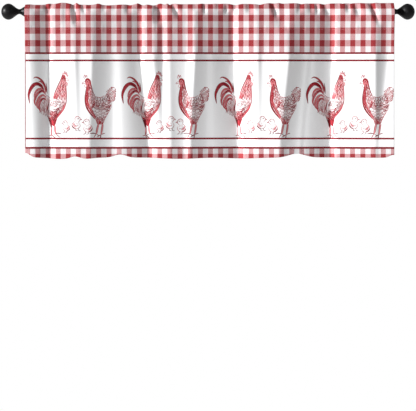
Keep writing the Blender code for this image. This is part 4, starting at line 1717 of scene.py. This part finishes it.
@dataclass
class Ridges:
    """Thin closed ridges of ink, gathered into one piece."""

    points: list = field(default_factory=list)
    faces: list = field(default_factory=list)
    tones: list = field(default_factory=list)

    def add(self, ridge: Array, tone: float, facing: float) -> None:
        """Add one ridge.

        Args:
            ridge: its points, as rings across it.
            tone: its tone.
            facing: -1 where its drawing is turned round, and its faces with it.
        """
        start, (steps, ring) = len(self.points), ridge.shape[:2]
        self.points += ridge.reshape(-1, 3).tolist()
        self.tones += [tone] * (steps * ring)
        turn = tuple(range(ring))[:: int(facing)]
        for step in range(steps - 1):
            here, there = start + ring * step, start + ring * (step + 1)
            for first, second in zip(turn, turn[1:] + turn[:1]):
                self.faces.append((here + first, there + first, there + second, here + second))
        last = start + ring * (steps - 1)
        self.faces.append(tuple(start + item for item in turn))
        self.faces.append(tuple(last + item for item in turn[::-1]))

    def build(self, name: str) -> bpy.types.Object:
        """Make the piece.

        Args:
            name: its name.

        Returns:
            The piece, inked.
        """
        mesh = new_mesh(name, self.points, self.faces, InkFinish(f"{name}_ink").material())
        mesh.attributes.new(InkFinish.TONE, "FLOAT", "POINT").data.foreach_set("value", self.tones)
        mesh.update()
        return add_object(name, mesh)


@dataclass
class BirdBand:
    """The band of birds printed along the cloth.

    lifts are how far a ridge's edge and its crown stand off the cloth in each layer, and stagger
    keeps strokes that cross one another apart.
    """

    sheet: ClothSheet
    repeats: int = 4
    pitch: float = 0.2784
    rooster_x: float = -0.4635
    hen_from_rooster: float = 0.1365
    ground: float = -0.3770
    lifts: tuple = ((0.00005, 0.00007), (0.00010, 0.00013))
    widest: float = 1.1
    stagger: float = 0.000004
    staggers: int = 9
    bare_edge: float = 0.0005
    rooster_seed: int = 11
    hen_seed: int = 12
    chick_seed: int = 13

    def place(self, line: Array, spot: Spot) -> Array:
        """Find drawn points on the cloth.

        Args:
            line: the points, in mm.
            spot: where the drawing goes.

        Returns:
            Their flat places and heights.
        """
        form = self.sheet.form
        hung = spot.x + line[..., 0] * MM * spot.size * spot.facing
        stretch = self.sheet.flat_width / (form.right - form.left)
        return np.stack(((hung - form.left) * stretch, spot.z + line[..., 1] * MM * spot.size), axis=-1)

    def press(self, pen: Pen, spot: Spot, ridges: Ridges) -> None:
        """Print a drawing, but for strokes that would pass the cloth's edge.

        Args:
            pen: the pen with its strokes.
            spot: where the drawing goes.
            ridges: the piece that it is added to.
        """
        for number, stroke in enumerate(pen.strokes):
            side = left_of(stroke.line) * (stroke.width / 2.0)[:, None]
            rise = self.stagger * (number % self.staggers)
            edge, crown = (lift + rise for lift in self.lifts[stroke.layer])
            cuts = 2 * max(1, math.ceil(float(stroke.width.max()) / (2.0 * self.widest)))
            rows = []
            for cut, shift in enumerate(np.linspace(-1.0, 1.0, cuts + 1)):
                flat = self.place(stroke.line + shift * side, spot)
                rows.append(self.sheet.on_face(flat[:, 0], flat[:, 1], crown if 0 < cut < cuts else edge))
            inside = flat[:, 0].min() >= self.bare_edge
            if inside and flat[:, 0].max() <= self.sheet.flat_width - self.bare_edge:
                ridges.add(np.stack(rows, axis=1), stroke.tone, spot.facing)

    def build(self) -> list[bpy.types.Object]:
        """Print every bird.

        Returns:
            The three pieces.
        """
        roosters, hens, chicks = Ridges(), Ridges(), Ridges()
        for repeat in range(self.repeats):
            x = self.rooster_x + repeat * self.pitch
            self.press(Pen(self.rooster_seed).draw(ROOSTER), Spot(x, self.ground), roosters)
            self.press(Pen(self.hen_seed).draw(HEN), Spot(x + self.hen_from_rooster, self.ground), hens)
            for number, row in enumerate(CHICKS):
                spot = Spot(x + row.x * MM, self.ground + row.y * MM, row.size, row.facing)
                self.press(Pen(self.chick_seed + number).draw(CHICK), spot, chicks)
        named = {"print_roosters": roosters, "print_hens": hens, "print_chicks": chicks}
        return [ridges.build(name) for name, ridges in named.items()]


# ---- sewing


@dataclass
class Sewing:
    """Lines of lockstitch along the pocket's seam and the hems, as thread in the cloth.

    layers are how many layers of cloth lie between the front and the back of the seam, the hem
    and the two side hems.
    """

    sheet: ClothSheet
    stitch: float = 0.0028
    gap: float = 0.0011
    width: float = 0.00055
    rise: float = 0.00042
    seam_below: float = 0.0030
    hem_above: float = 0.0225
    hem_follow: float = 0.16
    side_in: float = 0.0100
    side_from: float = 0.004
    inset: float = 0.0015
    across_points: int = 700
    upright_points: int = 240
    layers: tuple = (3.0, 2.0, 2.0, 2.0)
    bead: tuple = (6, 5, 0.5)
    uneven: tuple = (0.88, 1.08)
    seed: int = 7

    def runs(self) -> list[tuple[Array, Array]]:
        """Lay out every line of stitches, in front and behind.

        Returns:
            Each line's points and outward directions.
        """
        sheet, form, wide = self.sheet, self.sheet.form, self.sheet.flat_width
        across = np.linspace(self.inset, wide - self.inset, self.across_points)
        heights = np.linspace(form.hem_height + self.side_from, form.seam_top, self.upright_points)
        bend = form.edge_bends(form.left + across * (form.right - form.left) / wide, HEM_BENDS)
        lines = [(across, np.full_like(across, form.seam_top - self.seam_below))]
        lines.append((across, form.hem_height + self.hem_above + bend * self.hem_follow))
        sides = (self.side_in, wide - self.side_in)
        lines += [(np.full_like(heights, place), heights) for place in sides]
        made = []
        for (u, z), layers in zip(lines, self.layers):
            face = sheet.on_face(u, z, 0.0)
            out = unit(sheet.on_face(u, z, MM) - face)
            made.append((face, out))
            made.append((face - out * (layers * sheet.layer), -out))
        return made + [sheet.over_rod(place) for place in sides]

    def guide(self) -> bpy.types.Object:
        """Make an edge mesh of the lines, which carries their outward directions.

        Returns:
            The mesh's object.
        """
        points, edges, outward = [], [], []
        for line, out in self.runs():
            start = len(points)
            points += line.tolist()
            outward += out.tolist()
            edges += [(start + step, start + step + 1) for step in range(len(line) - 1)]
        mesh = bpy.data.meshes.new("sewing_lines")
        mesh.from_pydata(points, edges, [])
        attribute = mesh.attributes.new("outward", "FLOAT_VECTOR", "POINT")
        attribute.data.foreach_set("vector", np.array(outward, dtype=np.float32).ravel())
        return add_object("sewing_lines", mesh)

    def inputs(self) -> dict[str, tuple[str, float]]:
        """Name the stitches' sizes.

        Returns:
            Each size by its name, with its kind of socket.
        """
        names = ("Stitch Length", "Gap", "Thread Width", "Rise")
        sizes = (self.stitch, self.gap, self.width, self.rise)
        named = {name: ("NodeSocketFloat", size) for name, size in zip(names, sizes)}
        return {**named, "Seed": ("NodeSocketInt", self.seed)}

    def tree(self, material: Material) -> bpy.types.NodeTree:
        """Geometry nodes that lay one stitch at every step along the lines.

        Args:
            material: the thread's material.

        Returns:
            The tree.
        """
        tree = bpy.data.node_groups.new("lockstitch", "GeometryNodeTree")
        tree.interface.new_socket("Geometry", in_out="INPUT", socket_type="NodeSocketGeometry")
        for name, (kind, _) in self.inputs().items():
            tree.interface.new_socket(name, in_out="INPUT", socket_type=kind)
        tree.interface.new_socket("Geometry", in_out="OUTPUT", socket_type="NodeSocketGeometry")
        node = partial(add_node, tree)
        given = node("NodeGroupInput").outputs
        curve = node("GeometryNodeMeshToCurve", {0: given["Geometry"]})
        step = node("ShaderNodeMath", {0: given["Stitch Length"], 1: given["Gap"]}, operation="ADD")
        feeds = {"Curve": curve.outputs[0], "Length": step.outputs[0]}
        spots = node("GeometryNodeResampleCurve", feeds, mode="LENGTH")
        outward = node("GeometryNodeInputNamedAttribute", {"Name": "outward"}, data_type="FLOAT_VECTOR")
        feeds = {"Vector": node("GeometryNodeInputTangent").outputs[0]}
        lie = node("FunctionNodeAlignRotationToVector", feeds, axis="X")
        feeds = {"Rotation": lie.outputs[0], "Vector": outward.outputs[0]}
        face_out = node("FunctionNodeAlignRotationToVector", feeds, axis="Z", pivot_axis="X")
        bead = node("GeometryNodeMeshUVSphere", dict(zip(("Segments", "Rings", "Radius"), self.bead)))
        feeds = {0: given["Stitch Length"], 1: given["Thread Width"], 2: given["Rise"]}
        size = node("ShaderNodeCombineXYZ", feeds)
        feeds = {"Geometry": bead.outputs["Mesh"], "Scale": size.outputs[0]}
        sized = node("GeometryNodeTransform", feeds)
        feeds = {"Min": self.uneven[0], "Max": self.uneven[1], "Seed": given["Seed"]}
        vary = node("FunctionNodeRandomValue", feeds, data_type="FLOAT")
        feeds = {"Points": spots.outputs[0], "Instance": sized.outputs[0]}
        feeds.update({"Rotation": face_out.outputs[0], "Scale": vary.outputs["Value"]})
        laid = node("GeometryNodeInstanceOnPoints", feeds)
        real = node("GeometryNodeRealizeInstances", {0: laid.outputs[0]})
        dress = node("GeometryNodeSetMaterial", {"Geometry": real.outputs[0], "Material": material})
        node("NodeGroupOutput", {0: dress.outputs[0]})
        return tree

    def build(self) -> bpy.types.Object:
        """Sew the lines.

        Returns:
            The stitches as one plain mesh.
        """
        guide = self.guide()
        tree = self.tree(ThreadFinish().material())
        modifier = guide.modifiers.new("sewing", "NODES")
        modifier.node_group = tree
        sides = tree.interface.items_tree
        sockets = {item.name: item.identifier for item in sides if item.in_out == "INPUT"}
        for name, (_, value) in self.inputs().items():
            modifier[sockets[name]] = value
        graph = bpy.context.evaluated_depsgraph_get()
        mesh = bpy.data.meshes.new_from_object(guide.evaluated_get(graph), depsgraph=graph)
        bpy.data.objects.remove(guide, do_unlink=True)
        mesh.name = "valance_stitches"
        mesh.shade_smooth()
        return add_object("valance_stitches", mesh)


# ---- rod and finials


class End(Enum):
    """The two ends of the rod, as the way that each looks along X."""

    LEFT = -1.0
    RIGHT = 1.0


@dataclass(frozen=True)
class Finial:
    """A turned finial: ball, taper, neck, flare, collar and the stud in the rod's end.

    bevel_steps are the points of the collar's rounded rim, as shares of the bevel.
    """

    ball_radius: float = 0.0243
    ball_nose: float = 0.0220
    neck_radius: float = 0.00735
    neck_at: float = 0.0540
    collar_radius: float = 0.0160
    collar_at: float = 0.0740
    length: float = 0.0800
    bevel: float = 0.0008
    bevel_steps: tuple = ((1.0, 0.0), (0.3, 0.3), (0.0, 1.0))
    stud_radius: float = 0.0040
    stud_length: float = 0.0180
    seat: float = 0.5412
    taper_power: float = 1.6
    sides: int = 96
    ball_points: int = 25
    taper_points: int = 29
    flare_points: int = 17
    crease: float = 35.0

    def outline(self) -> list[tuple[float, float]]:
        """Draw the outline from the tip inwards.

        Returns:
            Each point's distance from the tip, and its radius.
        """
        quarter = math.pi / 2.0
        points = []
        for turned in np.linspace(0.0, quarter, self.ball_points):
            points.append((self.ball_nose * (1.0 - math.cos(turned)), self.ball_radius * math.sin(turned)))
        for share in np.linspace(0.0, 1.0, self.taper_points)[1:]:
            swell = max(math.cos(quarter * share), 0.0) ** self.taper_power
            radius = self.neck_radius + (self.ball_radius - self.neck_radius) * swell
            points.append((self.ball_nose + (self.neck_at - self.ball_nose) * share, radius))
        for share in np.linspace(0.0, 1.0, self.flare_points)[1:]:
            flare = math.sin(quarter * share) ** 2
            radius = self.neck_radius + (self.collar_radius - self.neck_radius) * flare
            points.append((self.neck_at + (self.collar_at - self.neck_at) * share, radius))
        for back, down in self.bevel_steps:
            points.append((self.length - back * self.bevel, self.collar_radius - down * self.bevel))
        end = self.length + self.stud_length
        return points + [(self.length, self.stud_radius), (end, self.stud_radius), (end, 0.0)]

    def build(self, name: str, end: End, node: str) -> bpy.types.Object:
        """Turn the finial on one end of the rod.

        Args:
            name: the piece's name.
            end: the end that it is on.
            node: the solid that it stands for.

        Returns:
            The piece.
        """
        tip, sign, outline = self.seat + self.length, end.value, self.outline()
        angles = 2.0 * math.pi * np.arange(self.sides) / self.sides
        points = [(sign * tip, 0.0, 0.0), (sign * (tip - outline[-1][0]), 0.0, 0.0)]
        for inward, radius in outline[1:-1]:
            x = sign * (tip - inward)
            points += [(x, radius * math.cos(angle), radius * math.sin(angle)) for angle in angles]
        faces, rings = [], len(outline) - 2
        last = 2 + (rings - 1) * self.sides
        for side in range(self.sides):
            following = (side + 1) % self.sides
            faces.append((0, 2 + following, 2 + side))
            faces.append((1, last + side, last + following))
            for ring in range(rings - 1):
                near, far = 2 + ring * self.sides, 2 + (ring + 1) * self.sides
                faces.append((near + side, near + following, far + following, far + side))
        faces = [face[:: int(sign)] for face in faces]
        mesh = new_mesh(name, points, faces, PaintFinish(f"{name}_paint").material())
        mesh.shade_smooth()
        mesh.set_sharp_from_angle(angle=math.radians(self.crease))
        piece = add_object(name, mesh)
        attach(piece, BODY)
        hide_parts(node)
        return piece


# ---- studio


class Lamp(NamedTuple):
    """A soft rectangular lamp: its name, its place, its width and height, and its power."""

    name: str
    place: tuple
    size: tuple
    power: float


@dataclass(frozen=True)
class Studio:
    """Pale floor, soft lights and the camera, level with the middle of the cloth."""

    lens: float = 200.0
    sensor: float = 36.0
    view_width: float = 1.248
    view_middle: float = -0.582
    eye_height: float = -0.230
    cloth_front: float = -0.012
    target: tuple = (0.0, 0.0, -0.2)
    floor_height: float = -1.600
    floor_half: tuple = (4.0, 2.6)
    floor_tones: tuple = ((0.91, 0.91, 0.91, 1.0), (0.95, 0.95, 0.945, 1.0))
    floor_blotch: float = 3.0
    floor_roughness: float = 0.8
    floor_specular: float = 0.3
    white: tuple = (1.0, 1.0, 1.0, 1.0)
    ambient: float = 0.285
    sun: float = 6.6
    sun_width: float = 12.0
    sun_place: tuple = (-3.2, -0.97, 0.5)
    lamps: tuple = (
        Lamp("front", (0.0, -4.0, 0.3), (0.6, 0.6), 13.0),
        Lamp("rear", (0.6, 3.5, 0.8), (1.6, 1.0), 45.0),
    )

    def camera(self) -> None:
        """A level camera, with the frame shifted down to take in the space under the cloth."""
        data = bpy.data.cameras.new("view")
        data.lens, data.sensor_width = self.lens, self.sensor
        data.shift_y = (self.view_middle - self.eye_height) / self.view_width
        eye = add_object("view", data)
        distance = self.view_width * self.lens / self.sensor
        eye.location = (0.0, self.cloth_front - distance, self.eye_height)
        eye.rotation_euler = (math.radians(90.0), 0.0, 0.0)
        bpy.context.scene.camera = eye

    def aim(self, place: tuple) -> Euler:
        """The turn that makes a light at place look at the cloth."""
        return (Vector(self.target) - Vector(place)).to_track_quat("-Z", "Y").to_euler()

    def light(self, lamp: Lamp) -> None:
        """Hang one lamp.

        Args:
            lamp: the lamp.
        """
        data = bpy.data.lights.new(lamp.name, "AREA")
        data.shape, data.energy = "RECTANGLE", lamp.power
        data.size, data.size_y = lamp.size
        made = add_object(lamp.name, data)
        made.location = lamp.place
        made.rotation_euler = self.aim(lamp.place)

    def key(self) -> None:
        """Soft light from one side, the same all along the cloth."""
        data = bpy.data.lights.new("key", "SUN")
        data.energy, data.angle = self.sun, math.radians(self.sun_width)
        add_object("key", data).rotation_euler = self.aim(self.sun_place)

    def surroundings(self) -> None:
        """An even white surround, dimmer as light than it looks."""
        world = bpy.data.worlds.new("surround")
        world.use_nodes = True
        tree = world.node_tree
        seen = add_node(tree, "ShaderNodeLightPath").outputs["Is Camera Ray"]
        feeds = {"Value": seen, "To Min": self.ambient, "To Max": 1.0}
        strength = add_node(tree, "ShaderNodeMapRange", feeds)
        background = tree.nodes["Background"]
        background.inputs["Color"].default_value = self.white
        tree.links.new(strength.outputs[0], background.inputs["Strength"])
        bpy.context.scene.world = world

    def floor(self) -> None:
        """A plain pale floor well under the cloth."""
        wide, deep = self.floor_half
        corners = [(-wide, -deep), (wide, -deep), (wide, deep), (-wide, deep)]
        points = [(x, y, self.floor_height) for x, y in corners]
        graph = Graph("studio_floor_paint")
        tone = graph.mix(graph.noise(graph.place(), self.floor_blotch), *self.floor_tones)
        paint = graph.finish(tone, self.floor_roughness, self.floor_specular)
        add_object("studio_floor", new_mesh("studio_floor", points, [(0, 1, 2, 3)], paint))

    def build(self) -> None:
        """Set up the whole studio."""
        self.camera()
        self.key()
        for lamp in self.lamps:
            self.light(lamp)
        self.surroundings()
        self.floor()
        bpy.context.scene.view_settings.view_transform = "Standard"


# ---- main


def dress_rod(frame: dict) -> bpy.types.Object:
    """Give the rod's own solid its paint.

    Args:
        frame: the loaded frame.

    Returns:
        The rod.
    """
    rod = frame["nodes"]["rod"]
    rod.data.materials.clear()
    rod.data.materials.append(PaintFinish("rod_black_paint").material())
    return rod


def main() -> None:
    """Build every piece round the frame and report it."""
    logging.basicConfig(level=logging.INFO, format="%(name)s: %(message)s")
    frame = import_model()
    Studio().build()
    sheet = ClothSheet()
    cloth = sheet.build(ClothFinish(PrintLayout(sheet.flat_width)))
    trimmings = [*BirdBand(sheet).build(), Sewing(sheet).build()]
    for piece in (cloth, *trimmings):
        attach(piece, BODY)
    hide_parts("valance_cloth")
    finials = [
        Finial().build("finial_ball_left", End.LEFT, "finial_left"),
        Finial().build("finial_ball_right", End.RIGHT, "finial_right"),
    ]
    for piece in (cloth, *trimmings, *finials, dress_rod(frame)):
        LOG.info("%s: %d faces", piece.name, len(piece.data.polygons))


if __name__ == "__main__":
    main()
